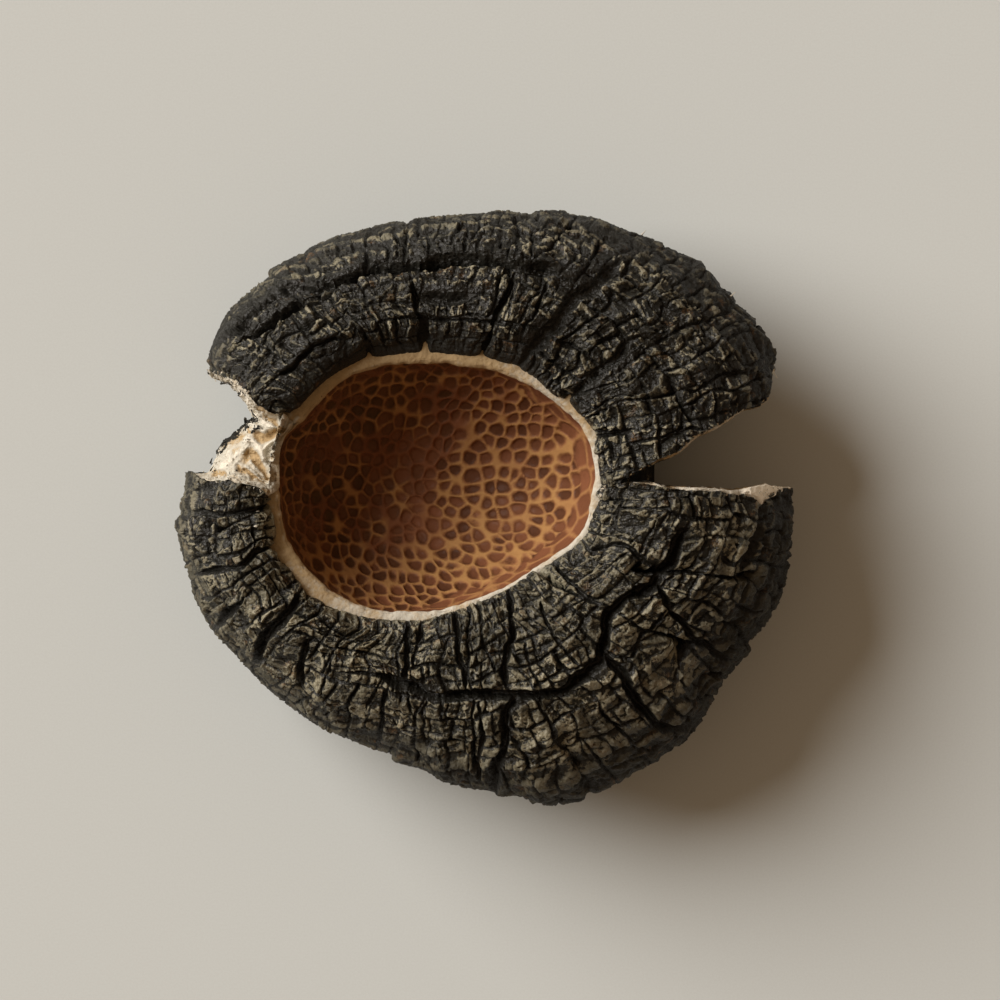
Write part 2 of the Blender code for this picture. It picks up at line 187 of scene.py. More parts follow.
# The cracks seen from above: width, depth and the points that each runs through
LOWER_CRACKS = (
    (3.4, 5.5, ((-35, -54.5), (-30, -56.5), (-23, -57.5), (-17, -60.5), (-10, -60.5), (-5, -59.5), (5, -60),
                (15, -60.5), (20, -60), (25, -59), (28, -57), (30, -54.5), (35, -51), (37, -49), (37.5, -46),
                (38, -43), (39, -40), (39, -36), (40, -34), (43, -31.5), (47, -28.5), (51, -27), (54, -25.5),
                (57, -21), (59, -18.5), (61, -14), (63, -8), (65, -6.5))),
    (1.2, 1.6, ((-35, -54.5), (-41, -53.4), (-48, -53))),
    (1.2, 1.6, ((-33, -56), (-35, -59), (-38, -65))),
    (2.8, 4.2, ((38, -46), (40, -49), (43, -52), (45, -55), (46, -58), (50, -64), (53, -67), (55, -69.5),
                (60, -70.5), (64, -70.5), (67, -69), (70, -66))),
    (3.0, 4.5, ((14, -60.5), (10, -61.5), (8, -63.5), (6.5, -66.5), (6.5, -73), (6, -77), (4.5, -80),
                (3, -82), (3, -85), (3, -93))),
    (1.9, 3.0, ((56, -23.5), (57, -27), (58, -29.5), (63, -36), (67, -42), (69, -44), (73, -45), (75, -48),
                (80, -49.5))),
    (1.4, 2.0, ((59, -33), (57, -36.5), (53, -40), (50, -43), (48, -47), (46, -49))),
    (2.0, 3.0, ((8, -26), (8.5, -31), (9, -38.5), (9.5, -41.5), (8, -44), (7.5, -47), (6.5, -50), (6.3, -54),
                (7, -58))),
    (2.1, 3.0, ((-24.5, -36), (-25, -41), (-24.5, -45), (-25, -50), (-25.5, -54), (-25, -57))),
    (1.9, 2.6, ((-20, -36), (-20.5, -40), (-21.5, -44))),
    (1.7, 2.4, ((-10, -33), (-9, -38), (-8.5, -42), (-8, -50), (-6.5, -52), (-6, -58))),
    (0.9, 1.1, ((-10, -40), (-12, -43), (-13, -48.5))),
    (0.9, 1.1, ((-20, -42.5), (-14, -41.5), (-5, -40), (-3.5, -39))),
    (3.0, 4.5, ((-59.5, -28), (-62, -32), (-64, -35), (-67, -38), (-70, -41), (-71.5, -44), (-73, -48),
                (-76, -52))),
    (3.0, 4.0, ((-88, -40), (-84.5, -36), (-82, -33.5), (-79, -31), (-77.5, -29))),
    (2.2, 3.0, ((-69, -13), (-72, -13.5), (-75, -15), (-77, -17.5), (-79.5, -19.5), (-85, -20), (-94, -22))),
    (1.9, 2.6, ((-70, 0.5), (-74, -0.5), (-78, -1.5), (-82, -2), (-88.5, -2), (-91, -1), (-94.5, -1.5))),
    (2.4, 3.2, ((-89, -2), (-89, -10), (-88, -14), (-86, -18), (-85, -20))),
    (1.3, 1.8, ((-94.5, -1.5), (-95, -6), (-94, -10), (-92, -11), (-89.5, -10.5))),
    (1.9, 2.6, ((-54, -43), (-57, -43), (-58, -47), (-59.5, -51), (-59, -58))),
    (0.8, 1.0, ((-63, -38), (-56, -38), (-50, -40.5), (-46, -42), (-40, -43.5))),
    (1.0, 1.3, ((-50, -46), (-49.5, -51), (-51, -55), (-52, -59))),
    (1.5, 2.2, ((-31, -58), (-32, -61), (-33, -65), (-33.5, -70), (-34, -75), (-34.5, -78))),
    (1.1, 1.4, ((-20, -59), (-20, -63), (-22, -66), (-23, -70))),
    (1.1, 1.4, ((-18.5, -61), (-19.5, -66), (-20, -72), (-19, -77))),
    (0.9, 1.1, ((-11.5, -62), (-12.5, -66), (-12, -70))),
    (1.5, 2.2, ((-2, -62), (-1.5, -66), (-0.5, -71), (-1, -76), (-2, -81), (-2, -88))),
    (0.9, 1.1, ((-12, -70.3), (-5, -70.5), (-1, -72.5), (3, -73))),
    (0.8, 0.9, ((-32, -68), (-26, -70.5), (-18, -70.5))),
    (1.0, 1.3, ((19, -66), (21, -70), (22, -74), (25, -77.5), (29, -79.5))),
    (0.9, 1.1, ((31, -75), (33, -81))),
    (0.9, 1.1, ((41, -59), (44, -60.5))),
    (0.9, 1.1, ((42, -66), (45, -72))),
    (1.1, 1.4, ((13, -41), (13.5, -46), (14, -49), (15, -52), (17, -55), (18, -58))),
    (0.9, 1.1, ((0, -46.5), (5, -46.5), (12, -46), (18, -44.5), (22, -42.5))),
    (1.1, 1.4, ((18, -30), (19, -35), (21, -39), (24, -44), (28, -48.5), (30, -51))),
    (0.9, 1.1, ((21, -36), (26, -33), (30, -30.5), (35, -27))),
    (0.9, 1.1, ((33, -24), (38, -20.5), (42, -17.5), (46, -14.5))),
    (1.5, 2.2, ((34, -13), (38, -12.5), (45, -12), (48, -14), (50.5, -16.5), (53, -18.5), (56, -19))),
    (1.5, 2.2, ((23, -17), (25, -21), (31, -27), (37.5, -31.7))),
    (0.9, 1.1, ((50, -15), (52, -10), (54, -6), (55, -4))),
    (3.0, 2.2, ((89.7, 0.5), (88, -3), (86.5, -8), (85, -14), (83, -20))),
)
UPPER_CRACKS = (
    (2.8, 3.2, ((-87.5, 51), (-85, 54), (-82, 55.5), (-79, 56), (-76, 59), (-73, 62), (-67, 67), (-63, 69.5),
                (-59, 70), (-54, 70.5), (-50, 72), (-46, 73.5), (-42, 75), (-39, 76.5), (-36, 77.5),
                (-28, 76.5), (-23, 76.5), (-18, 77), (-14, 78.5), (-8, 78.3), (-2, 77.5), (3, 77), (8, 76),
                (14, 75.3), (23, 75))),
    (2.3, 3.2, ((-76, 54), (-72, 56), (-66, 60), (-63, 62), (-60.5, 64), (-57, 65))),
    (2.8, 3.6, ((-38, 83), (-38, 80), (-39, 77))),
    (1.3, 1.7, ((-66, 42.5), (-62, 44.5), (-59, 48), (-57, 50), (-54, 52), (-49, 54), (-45, 54.5))),
    (2.2, 1.4, ((-61, 55), (-57, 57), (-54, 59))),
    (1.5, 2.2, ((-37.5, 49.5), (-38, 54), (-38.5, 57))),
    (1.6, 2.4, ((-19, 51.5), (-19, 56), (-19.5, 60), (-22, 63), (-22.5, 68), (-22.5, 72))),
    (1.7, 2.6, ((-0.5, 50), (1.5, 55), (2.5, 58.5), (4, 62), (6, 66), (8, 70), (10, 74))),
    (1.0, 1.2, ((-17, 60), (-10, 60), (-4, 60), (1.5, 59.5), (8, 58.8), (12, 56))),
    (3.4, 1.8, ((-22, 68), (-15, 67), (-8, 66.5), (-3, 67))),
    (1.2, 1.6, ((20, 72), (18, 67), (16, 62), (13, 59), (12, 56))),
    (4.6, 2.4, ((12, 46), (14, 50), (17, 53), (20, 56), (23, 58.5), (28, 66), (31, 69), (35, 71), (39, 75),
                (44, 80))),
    (3.8, 1.8, ((28, 35), (31, 39), (36, 43.5), (41, 47), (46, 53), (50, 55))),
    (1.4, 1.8, ((36, 23.2), (40, 23.3), (44, 24), (48, 25.5))),
    (1.2, 1.5, ((57, 20.5), (60, 22.5), (64, 24.5), (68, 25.5), (72, 25.5))),
    (1.4, 1.8, ((64, 38), (67, 37.5), (70, 39), (74, 41.5), (78, 43), (84, 44))),
    (1.4, 1.8, ((62, 37), (64, 33), (66, 30), (69, 27))),
    (0.9, 1.1, ((35, 31.5), (39, 34), (43, 36), (49, 36))),
    (0.9, 1.1, ((55, 30), (52, 35))),
    (0.9, 1.1, ((66, 52), (69, 49), (70, 47))),
    (0.9, 1.1, ((-28, 84.5), (-15, 84.8), (-3, 84.5))),
    (1.1, 1.2, ((-25.5, 76), (-25.5, 82), (-25, 87))),
    (1.1, 1.2, ((-17.5, 80), (-18.5, 88))),
    (1.1, 1.2, ((-6.5, 80), (-5.5, 88))),
    (1.0, 1.2, ((5, 80), (5, 85))),
    (1.0, 1.2, ((10, 76), (10, 85))),
    (1.1, 1.2, ((14.5, 76), (15, 82), (15.5, 88))),
)

# Where the crust ends at the split, down its upper side to the apex and out along its lower side
SPLIT_EDGE = (
    (120, 47), (97, 46), (93.8, 44), (93.4, 39.5), (92.3, 35.5), (89.5, 33.2), (84, 32), (80, 29.5),
    (76, 26.8), (72, 25), (69.5, 24.2), (66, 21.3), (63, 18.5), (60, 17), (56, 15.5), (53, 13.8), (50, 12.2),
    (47, 10.5), (44.5, 8.8), (42, 7), (44, 7.4), (48, 8.1), (52, 7.7), (55, 7.1), (60, 6), (66, 5.5),
    (76, 5.2), (79, 4.3), (84, 4.2), (87, 3.2), (88.5, 2), (89.7, 0.5), (90.5, 2), (92, 3.7), (94, 4.5),
    (97.3, 6.3), (120, 6.5),
)
# The place of the apex in that list, after the points of the upper side and before those of the lower side
SPLIT_APEX = 19
# The split's floor, as places along +X and heights
SPLIT_STEPS = ((43, 46), (46, 38), (51, 22), (56, 0.4))
# Where the crust ends at the bite, in from the upper lobe's end and out along the lower lobe's
BITE_EDGE = (
    (-120, 47), (-92, 45.5), (-87, 43), (-83, 41.8), (-80, 41), (-79.5, 39.7), (-77, 38), (-75, 35),
    (-73, 33), (-70.5, 31.5), (-68, 30.2), (-66, 30.2), (-64, 31), (-62, 30), (-62, 24), (-65, 12), (-68, 5),
    (-70, 3.5), (-70.5, 5), (-72, 6.2), (-74, 7), (-77, 7.5), (-80, 8), (-82, 9), (-86, 8.7), (-90, 8.5),
    (-92, 9.5), (-94.5, 11.5), (-98, 12), (-120, 12),
)
# The torn face of the bite, as lines from the crust or ring down to the underside, from upper to lower lobe
TORN_LINES = (
    ((-90.5, 44.8, 44), (-90.3, 44.6, 40), (-90.1, 44.4, 35), (-89.8, 44.2, 29)),
    ((-88.4, 44.1, 49), (-88.4, 43.5, 43), (-88.3, 43, 36), (-88.1, 42.7, 27)),
    ((-84, 43.2, 60), (-84.3, 42, 53), (-84.3, 41.2, 40), (-84.3, 40.9, 24)),
    ((-80, 41.6, 67), (-81, 40.2, 58), (-81.4, 39.2, 42), (-81.4, 38.9, 18)),
    ((-76.6, 38.8, 73.5), (-78.2, 37.6, 64), (-79.3, 36.7, 45), (-79.4, 36.4, 14)),
    ((-73, 34.6, 75), (-75.3, 33.9, 66), (-76.8, 33.2, 46), (-77, 33, 11)),
    ((-68.5, 31.2, 73), (-72, 31, 67.5), (-75, 30.6, 50), (-75.5, 30.2, 9)),
    ((-64.8, 30, 66.9), (-68.5, 29, 67), (-73.5, 28.6, 56), (-74.6, 28.4, 10)),
    ((-62.4, 26.7, 66.4), (-69, 26.4, 66.6), (-75, 26.6, 56), (-77, 26.8, 14)),
    ((-64.3, 23.9, 66.3), (-71.5, 23.6, 66), (-77.5, 24, 57), (-80.3, 24.3, 18)),
    ((-66.2, 20, 66.3), (-73.5, 20, 66), (-80.3, 20.6, 58), (-84.4, 21, 24)),
    ((-66.9, 16, 66.3), (-74.5, 16, 66.2), (-82.3, 17, 58.5), (-87, 17.6, 29)),
    ((-67, 12, 66.3), (-76, 12.6, 66.5), (-83.6, 13.8, 60), (-88.6, 14.4, 31)),
    ((-67, 8.6, 66.3), (-77, 9.9, 67.5), (-84.6, 11.2, 62.5), (-89.8, 12.4, 32)),
    ((-67.4, 6, 66.4), (-77, 8.3, 70), (-84.5, 9.4, 66), (-91, 11.2, 34)),
    ((-70.2, 3.9, 70.3), (-77, 6, 75.6), (-86, 7.3, 72.5), (-97, 10.5, 37)),
)
# The torn face's folds seen from above: how wide and how high each is, and the points that it runs through
FOLDS = (
    (0.55, 1.2, ((-60, 29), (-62.5, 26.6), (-65, 24.3), (-67.5, 22), (-70, 20.2), (-71.8, 18.2))),
    (1.1, 1.5, ((-71.8, 18.2), (-71.2, 15.5), (-70.2, 12.5), (-69.4, 9.5), (-68.6, 7))),
    (1.2, 1.2, ((-85, 12.3), (-82.5, 14.5), (-80, 16.8), (-77.5, 20), (-75.4, 22.4), (-73.4, 20.4),
                (-72, 18.4))),
    (0.7, 1.3, ((-75.6, 14.9), (-74, 13.3), (-72.4, 11.3), (-70.6, 9.2), (-69.2, 7.6))),
    (0.5, 0.8, ((-77, 12.9), (-74.6, 10.9), (-72.4, 9), (-70.2, 7.4), (-68.8, 6))),
    (0.8, 1.2, ((-75, 31), (-73, 29.2), (-71.2, 27.6), (-69.4, 26.4), (-67.4, 25.4))),
    (0.9, 0.9, ((-74.8, 26.6), (-72.8, 25.4), (-71.2, 24.2))),
    (0.4, 0.8, ((-66.8, 30.5), (-66.6, 28.8), (-66, 27), (-64.6, 26))),
    (0.4, 0.6, ((-62.2, 30.6), (-64.2, 27.2), (-65.2, 25.2))),
    (0.5, 0.6, ((-79.6, 15), (-80.6, 13), (-80.8, 11.4))),
    (0.5, 0.6, ((-88, 12.8), (-85, 12.4), (-82, 10.9), (-79.5, 10.4), (-77, 9))),
    (0.4, 0.4, ((-86, 14.4), (-84, 16.5), (-81, 18.6), (-78.4, 20.4))),
    (0.4, 0.5, ((-73.4, 8.8), (-71.4, 7.6), (-69.6, 6))),
    (0.6, 0.9, ((-81, 40), (-79, 38), (-77, 35.6), (-75.6, 33.4), (-74.6, 31.4))),
)
# The dips between them, in which the flesh is coloured tan, partly as painted shade
DIPS = (
    (1.9, 1.8, ((-76.2, 16.9), (-74.6, 16.6), (-73, 14.6), (-71.3, 11.6), (-69.8, 9.4))),
    (1.6, 1.6, ((-73.6, 22.8), (-71.8, 22.2), (-69.6, 22.6), (-67.8, 23.8), (-66, 25))),
    (0.9, 0.9, ((-72.6, 31.6), (-71.2, 30.8))),
    (0.9, 1.1, ((-70.4, 29.2), (-68.6, 28.2), (-67.2, 26.8))),
    (0.8, 1.2, ((-77.6, 12), (-75.6, 11), (-73.6, 9.2), (-71.4, 7.8))),
    (1.0, 1.4, ((-87.4, 10.6), (-85.5, 11), (-84, 10.5))),
    (0.6, 0.9, ((-79.6, 13.2), (-78.6, 11.6), (-77.6, 10.9))),
    (0.9, 0.9, ((-84.5, 19.3), (-82, 20.6), (-79.5, 22), (-78, 22.8))),
    (0.5, 0.7, ((-81.2, 18), (-79, 19.2), (-76.8, 20.6))),
    (0.6, 0.9, ((-76, 24.6), (-75.2, 23.4), (-74.4, 22.4))),
    (0.6, 0.8, ((-71.4, 5.6), (-69.6, 4.8))),
)
# The black crust that is left along the torn face's outer edge
REMNANTS = (
    (0.9, 1.2, ((-86.4, 17.4), (-84.9, 19.9), (-82.6, 21.8), (-80.3, 23.1))),
    (0.7, 1.0, ((-79.4, 24), (-78.2, 25.2), (-77.2, 26.4))),
    (0.8, 0.9, ((-76.6, 26.6), (-75, 27.6), (-73.4, 27.8))),
    (0.5, 0.8, ((-74.6, 23.6), (-73.6, 24.9), (-72.3, 26))),
)
# Where the underside ends at the bite
BITE_UNDER = (
    (-120, 46), (-88, 43), (-79.5, 39), (-73.5, 32), (-72, 29.5), (-77, 26.3), (-85.5, 18.5), (-89, 14.5),
    (-89.5, 11.5), (-95, 11.5), (-120, 12),
)
# The steps of a torn edge, and how far each is pushed aside
TEAR = (0.6, 0.22)
# Points of the crust that are so near to a cut move on to it
SNAP = 0.45
# The height above which the crust is cut as on top, and below which it is cut as on the underside
LEDGE = 38.0
# The pieces that crumbs lie on, the height above which they do, and a height above all of the conk
CRUMB_CARRIERS = (
    "upper_left_crust", "left_crust", "right_crust", "torn_flesh", "pale_ring", "split_upper_wall",
    "split_lower_wall",
)
CRUMBS_ABOVE = 30.0
SKY = 120.0
# Crumbs: the finish, how many, how large, how far they stray, and the line along which they lie
CRUMBS = (
    ("flesh", 46, 1.1, 0.5, ((-88.5, 42.6, 50), (-84, 41.6, 58), (-80, 39.9, 62), (-77, 37.2, 66),
                             (-74.2, 33, 68))),
    ("flesh", 26, 1.0, 0.9, ((-74.6, 31, 62), (-72.5, 29.5, 66), (-70, 28, 67))),
    ("flesh", 40, 0.9, 0.7, ((-93, 10.6, 52), (-88, 9.6, 60), (-82, 9.4, 66), (-76, 8.2, 69),
                             (-71, 5.6, 68))),
    ("flesh", 16, 0.8, 1.4, ((-87, 14, 50), (-80, 15, 62), (-73, 15, 66))),
    ("crust", 16, 0.8, 0.5, ((-85, 41, 50), (-81, 40, 55))),
    ("crust", 12, 0.7, 0.4, ((-79.6, 37.6, 60), (-77.4, 36.7, 62))),
    ("crust", 5, 2.1, 0.3, ((-77.9, 27.8, 58), (-76.1, 28.6, 60))),
    ("crust", 4, 1.8, 0.3, ((-77.2, 26.6, 58), (-76.8, 25.8, 60))),
    ("crust", 22, 1.3, 0.35, ((-86.3, 17.6, 44), (-84.4, 20, 48), (-82, 22, 52), (-79.8, 23.3, 56),
                              (-77.4, 26, 58))),
    ("crust", 10, 0.7, 0.5, ((-75.6, 27.2, 62), (-73, 28, 66))),
    ("crust", 14, 0.5, 0.5, ((-89, 15, 38), (-88, 12.5, 45), (-87, 11, 52))),
    ("crust", 12, 0.5, 0.8, ((-78, 20.5, 60), (-72.5, 27, 66))),
    ("crust", 14, 0.6, 0.8, ((-86, 10.8, 60), (-83, 10.6, 62), (-77, 11, 66))),
    ("flesh", 1, 1.7, 0.0, ((-73, -1.3, 72), (-73, -1.2, 72))),
    ("flesh", 1, 1.2, 0.0, ((-73.5, -6, 73), (-73.4, -6, 73))),
    ("flesh", 9, 1.3, 0.3, ((38.2, 7.2, 67), (38, 5.6, 67), (37.2, 3.6, 67))),
    ("flesh", 12, 0.6, 0.4, ((52, 7.9, 70), (60, 6.6, 68), (70, 6.2, 64), (80, 5.4, 60))),
    ("flesh", 22, 0.7, 0.9, ((84, 5, 56), (90, 4.2, 54), (95, 5.8, 50))),
)
# Splinters: the finish, and the line along which each lies
SPLINTERS = (
    ("crust", ((-85.6, 40.2, 52), (-82.4, 40.4, 56))),
    ("crust", ((-82.6, 40, 54), (-81, 39, 56))),
    ("crust", ((-79.6, 36.2, 58), (-78.6, 37.4, 62))),
    ("crust", ((-79.4, 37.4, 60), (-76.8, 36.9, 64))),
    ("crust", ((-79.2, 38, 60), (-78.4, 36.6, 62))),
    ("crust", ((-75.3, 31.6, 62), (-74.4, 28.8, 65))),
    ("crust", ((-74.8, 30.3, 64), (-73, 28.6, 66.5))),
    ("crust", ((-75, 24.6, 65), (-72, 26.4, 67.5))),
    ("crust", ((-89.4, 14.4, 40), (-88.6, 16.2, 42))),
    ("crust", ((-89, 12, 50), (-87.8, 13.6, 52))),
    ("flesh", ((-77.4, 34.4, 60), (-76.2, 35, 62))),
    ("flesh", ((51, 88.6, 50), (52.4, 90, 51))),
    ("flesh", ((80, 68.6, 50), (81.4, 70, 51))),
    ("flesh", ((93.6, 44, 52), (95, 42, 51))),
    ("flesh", ((74, 26.4, 64), (76, 27, 64))),
    ("flesh", ((66, 21.4, 66), (67.6, 22, 66))),
)
# The split's lower wall, which stands a little proud of the crust's edge
LOWER_FACE = (
    (41, 7.9), (48, 8.3), (52, 8.2), (55, 7.6), (58, 7.3), (60, 6.8), (66, 6.5), (70, 6.5), (74, 6.2),
    (80, 5.6), (85, 6.4), (91, 7.5), (93, 7.1), (97, 6.9), (101, 6.6),
)
# Where the upper wall shows, and where the lower wall has its pale patch: from and to along +X, and the eases
WALL_SHOWN = (50, 84, 3, 5)
WALL_PATCH = (83, 98, 3, 3)
# The places of a wall's columns along +X: the first, the end and the step
WALL_PLACES = (41.5, 101, 0.3)
# A wall's rows: those tucked in under the crust, those of its rounded lip and those of its face
TUCKED_ROWS = 2
LIP_ROWS = 14
FACE_ROWS = 60
# The camera looks straight down from here, in metres, through a long lens
CAMERA_PLACE = (0.00494, 0.00234, 2.755)
LENS = 300
SENSOR = 36
# How far off the light stands and how wide the floor is, in metres
LIGHT_DISTANCE = 12.0
FLOOR_WIDTH = 8


def smooth(points, steps=12, closed=True):
    """A Catmull-Rom curve through the points."""
    points = np.array(points, float)
    if closed:
        before, here, after, beyond = (np.roll(points, shift, axis=0) for shift in (1, 0, -1, -2))
    else:
        padded = np.concatenate((2 * points[:1] - points[1:2], points, 2 * points[-1:] - points[-2:-1]))
        before, here, after, beyond = padded[:-3], padded[1:-2], padded[2:-1], padded[3:]
    t = (np.arange(steps) / steps).reshape(-1, *[1] * points.ndim)
    curve = here + 0.5 * (
        (after - before) * t
        + (2 * before - 5 * here + 4 * after - beyond) * t**2
        + (3 * here - before - 3 * after + beyond) * t**3
    )
    curve = np.swapaxes(curve, 0, 1).reshape(-1, *points.shape[1:])
    return curve if closed else np.concatenate((curve, points[-1:]))


def resample(curve, where):
    """Places at so many shares of an open curve's length."""
    run = np.append(0, np.cumsum(np.linalg.norm(np.diff(curve, axis=0), axis=1)))
    return np.stack([np.interp(np.asarray(where) * run[-1], run, column) for column in curve.T], axis=-1)


def reach(points, angles):
    """How far a closed outline lies from the hollow's centre in each direction."""
    arms = smooth(points) - HOLLOW_CENTRE
    turns = np.arctan2(arms[:, 1], arms[:, 0])
    order = np.argsort(turns)
    return np.interp(angles, turns[order], np.hypot(*arms.T)[order], period=2 * np.pi)


def lumps(places, height_and_size, seed):
    """Smooth lumps of about such a height and size."""
    height, size = height_and_size
    draw = np.random.default_rng(seed)
    total = np.zeros(places.shape[:-1])
    for _ in range(14):
        heading = draw.normal(size=3)
        heading *= 2 * np.pi / (size * draw.uniform(0.8, 1.6) * np.linalg.norm(heading))
        total += np.sin(places @ heading + draw.uniform(0, 2 * np.pi))
    return height * total / 4


def scatter(corners, seed):
    """A number from 0 to 1 for each whole-numbered place, always the same one."""
    primes = np.array((73856093, 19349663, 83492791), np.uint32)[:corners.shape[-1]]
    mixed = (corners.astype(np.int64).astype(np.uint32) * primes).sum(axis=-1, dtype=np.uint32)
    mixed = mixed + np.uint32(seed * 7919)
    mixed = (mixed ^ (mixed >> np.uint32(15))) * np.uint32(2246822519)
    mixed = (mixed ^ (mixed >> np.uint32(13))) * np.uint32(3266489917)
    return (mixed ^ (mixed >> np.uint32(16))) / 2.0**32


def grain(places, size, seed):
    """Smooth noise between -1 and 1, with lumps about so large."""
    scaled = places / size
    home = np.floor(scaled)
    ease = (scaled - home) ** 2 * (3 - 2 * (scaled - home))
    total = np.zeros(places.shape[:-1])
    for corner in itertools.product((0, 1), repeat=places.shape[-1]):
        weight = np.prod(np.where(corner, ease, 1 - ease), axis=-1)
        total += weight * scatter(home + corner, seed)
    return 2 * total - 1


def ridged(places, size, seed):
    """Noise between -1 and 1 with sharp crests, about so far apart."""
    return 1 - 2 * np.abs(grain(places, size, seed))


def cells(places, size, seed, loose=0.8):
    """The cell that each place is in: its corner, the way to its centre, and how far it and its border are.

    The places have two coordinates or three."""
    scaled = places / size
    home = np.floor(scaled)
    nearest = np.full(places.shape[:-1], np.inf)
    second = nearest.copy()
    corner_of = np.zeros(places.shape)
    way = np.zeros(places.shape)
    for offset in itertools.product((-1, 0, 1), repeat=places.shape[-1]):
        corner = home + offset
        jitter = np.stack([scatter(corner, seed + axis) for axis in range(places.shape[-1])], axis=-1)
        towards = corner + 0.5 + loose * (jitter - 0.5) - scaled
        gap = np.linalg.norm(towards, axis=-1)
        closer = gap < nearest
        second = np.where(closer, nearest, np.minimum(second, gap))
        nearest = np.where(closer, gap, nearest)
        corner_of[closer] = corner[closer]
        way[closer] = towards[closer]
    return corner_of, way * size, nearest * size, (second - nearest) * size


def window(values, start, end, ease_in, ease_out):
    """1 between two values, eased to 0 just inside each of them."""
    return np.clip((values - start) / ease_in, 0, 1) * np.clip((end - values) / ease_out, 0, 1)


def softly_least(first, second, ease):
    """The lesser of two heights, eased where they meet."""
    return -ease * np.logaddexp(-first / ease, -second / ease)


def scallops(places, size, tilt, hollow, seed):
    """The heights of hollowed faces about so large with sharp rims, and a number for each face."""
    corner, way, gap, border = cells(places, size, seed)
    lean = np.stack([scatter(corner, seed + 10 + axis) for axis in range(places.shape[-1])], axis=-1) * 2 - 1
    height = tilt * np.sum(lean * way, axis=-1) + hollow * np.minimum(gap, 0.65 * size) ** 2 / size
    slit = 0.3 * np.clip(1 - border / 0.45, 0, 1) * (scatter(corner, seed + 20) < 0.5)
    return height - slit, scatter(corner, seed + 30)


def crack_depth(x, y, cracks, bank=0.0):
    """How deep the cracks are at each place, how far it is raised beside them, and how much painted shade the
    risers get.

    The bank is how high each crack's outer side stands over its inner side, as a share of its depth."""
    depth, step, riser_shade = np.zeros((3, *x.shape))
    for width, most, points in cracks:
        curve = smooth(points, 4, closed=False)
        spread = 3 * width
        low, high = curve.min(axis=0) - spread, curve.max(axis=0) + spread
        near = np.flatnonzero((x > low[0]) & (x < high[0]) & (y > low[1]) & (y < high[1]))
        place = np.stack((x[near], y[near]), axis=-1)
        outward = place - HOLLOW_CENTRE
        outward /= np.linalg.norm(outward, axis=-1, keepdims=True)
        gap, passed, out = np.full(near.shape, np.inf), np.zeros(near.shape), np.zeros(near.shape)
        run = np.append(0, np.cumsum(np.hypot(*np.diff(curve, axis=0).T)))
        for start, end, before in zip(curve[:-1], curve[1:], run):
            line = end - start
            along = np.clip((place - start) @ line / max(line @ line, 1e-9), 0, 1)
            beside = place - start - along[:, None] * line
            away = np.hypot(*beside.T)
            closer = away < gap
            passed = np.where(closer, before + along * np.hypot(*line), passed)
            out = np.where(closer, np.sum(beside * outward, axis=-1), out)
            gap = np.where(closer, away, gap)
        full = np.clip(0.4 + np.minimum(passed, run[-1] - passed) / (2.5 * width), 0, 1)
        full *= 1 + 0.3 * grain(place, 4.5, 29)
        depth[near] = np.maximum(depth[near], most * full * np.clip(1.3 - 2.1 * gap / (width * full), 0, 1))
        high = (np.clip(out / width, 0, 1) - 0.12) * bank * most * full * np.clip(1.25 - gap / spread, 0, 1)
        step[near] = np.where(np.abs(high) > np.abs(step[near]), high, step[near])
        # Painted shade: each crack's outer side rises in a step that faces away from the light, and that step
        # is coloured black.
        shaded = 1.4 * full * np.clip(out * bank, 0, 1) * np.clip(1.6 - gap / width, 0, 1)
        riser_shade[near] = np.maximum(riser_shade[near], shaded)
    return depth, step, riser_shade


def checked(turn, down, radius, coarse, fine):
    """The checks' depth, the heights of the blocks' faces, a number for each, and how near a check is.

    Each block splits across its longer way, and the smallest lean each their own way."""
    depth, face, tint, apart = np.zeros((4, *turn.shape))
    apart += FAR
    blocks = [(1, np.arange(turn.size), SEAM, SEAM + 2 * np.pi, 0.0, SHELL_RUN)]
    while blocks:
        number, inside, left, right, top, bottom = blocks.pop()
        draw = np.random.default_rng((CHECK_SEED, number))
        share, lean, enough = draw.uniform(0.36, 0.64), draw.normal(0, 0.1), fine * draw.uniform(0.9, 1.7)
        middle = (top + bottom) / 2
        wide, tall = (right - left) * np.interp(middle, *zip(*GIRTH)), bottom - top
        if not len(inside):
            continue
        if max(wide, tall) < enough:
            lean_round, lean_down, step, tint[inside] = draw.uniform(-1, 1, 4)
            along, across = (turn[inside] - (left + right) / 2) * radius[inside], down[inside] - middle
            sides = np.maximum(np.abs(2 * along / wide), np.abs(2 * across / tall))
            face[inside] = 0.1 * (lean_round * along + lean_down * across) + 0.2 * step - 0.45 * sides**4
            continue
        if number > 1 and wide > tall * 1.2:
            cut = left + share * (right - left)
            side = (turn[inside] - cut) * radius[inside] + lean * (down[inside] - middle)
            halves = ((left, cut, top, bottom), (cut, right, top, bottom))
        else:
            cut = top + share * (bottom - top)
            side = down[inside] - cut
            halves = ((left, right, top, cut), (left, right, cut, bottom))
        size = np.clip((max(wide, tall) - fine) / coarse, 0, 1)
        groove = (0.4 + 0.9 * size) * np.clip(1.2 - np.abs(side) / (0.3 + 0.35 * size), 0, 1)
        depth[inside] = np.maximum(depth[inside], groove)
        apart[inside] = np.minimum(apart[inside], np.abs(side))
        for which, half in enumerate(halves):
            blocks.append((2 * number + which, inside[(side < 0) ^ bool(which)], *half))
    return depth, face, tint, apart


def spread_to(shell, outline, share):
    """Widens the meridians towards the outline, so that the crust's edge lies on it."""
    arms = shell[..., :2] - HOLLOW_CENTRE
    widest = np.linalg.norm(arms, axis=-1).max(axis=0)
    trend = np.mean([np.roll(widest, turn) for turn in range(-4, 5)], axis=0)
    wider = 1 + (PROUD * outline / trend - 1) * share[:, None]
    shell[..., :2] = HOLLOW_CENTRE + arms * wider[..., None]


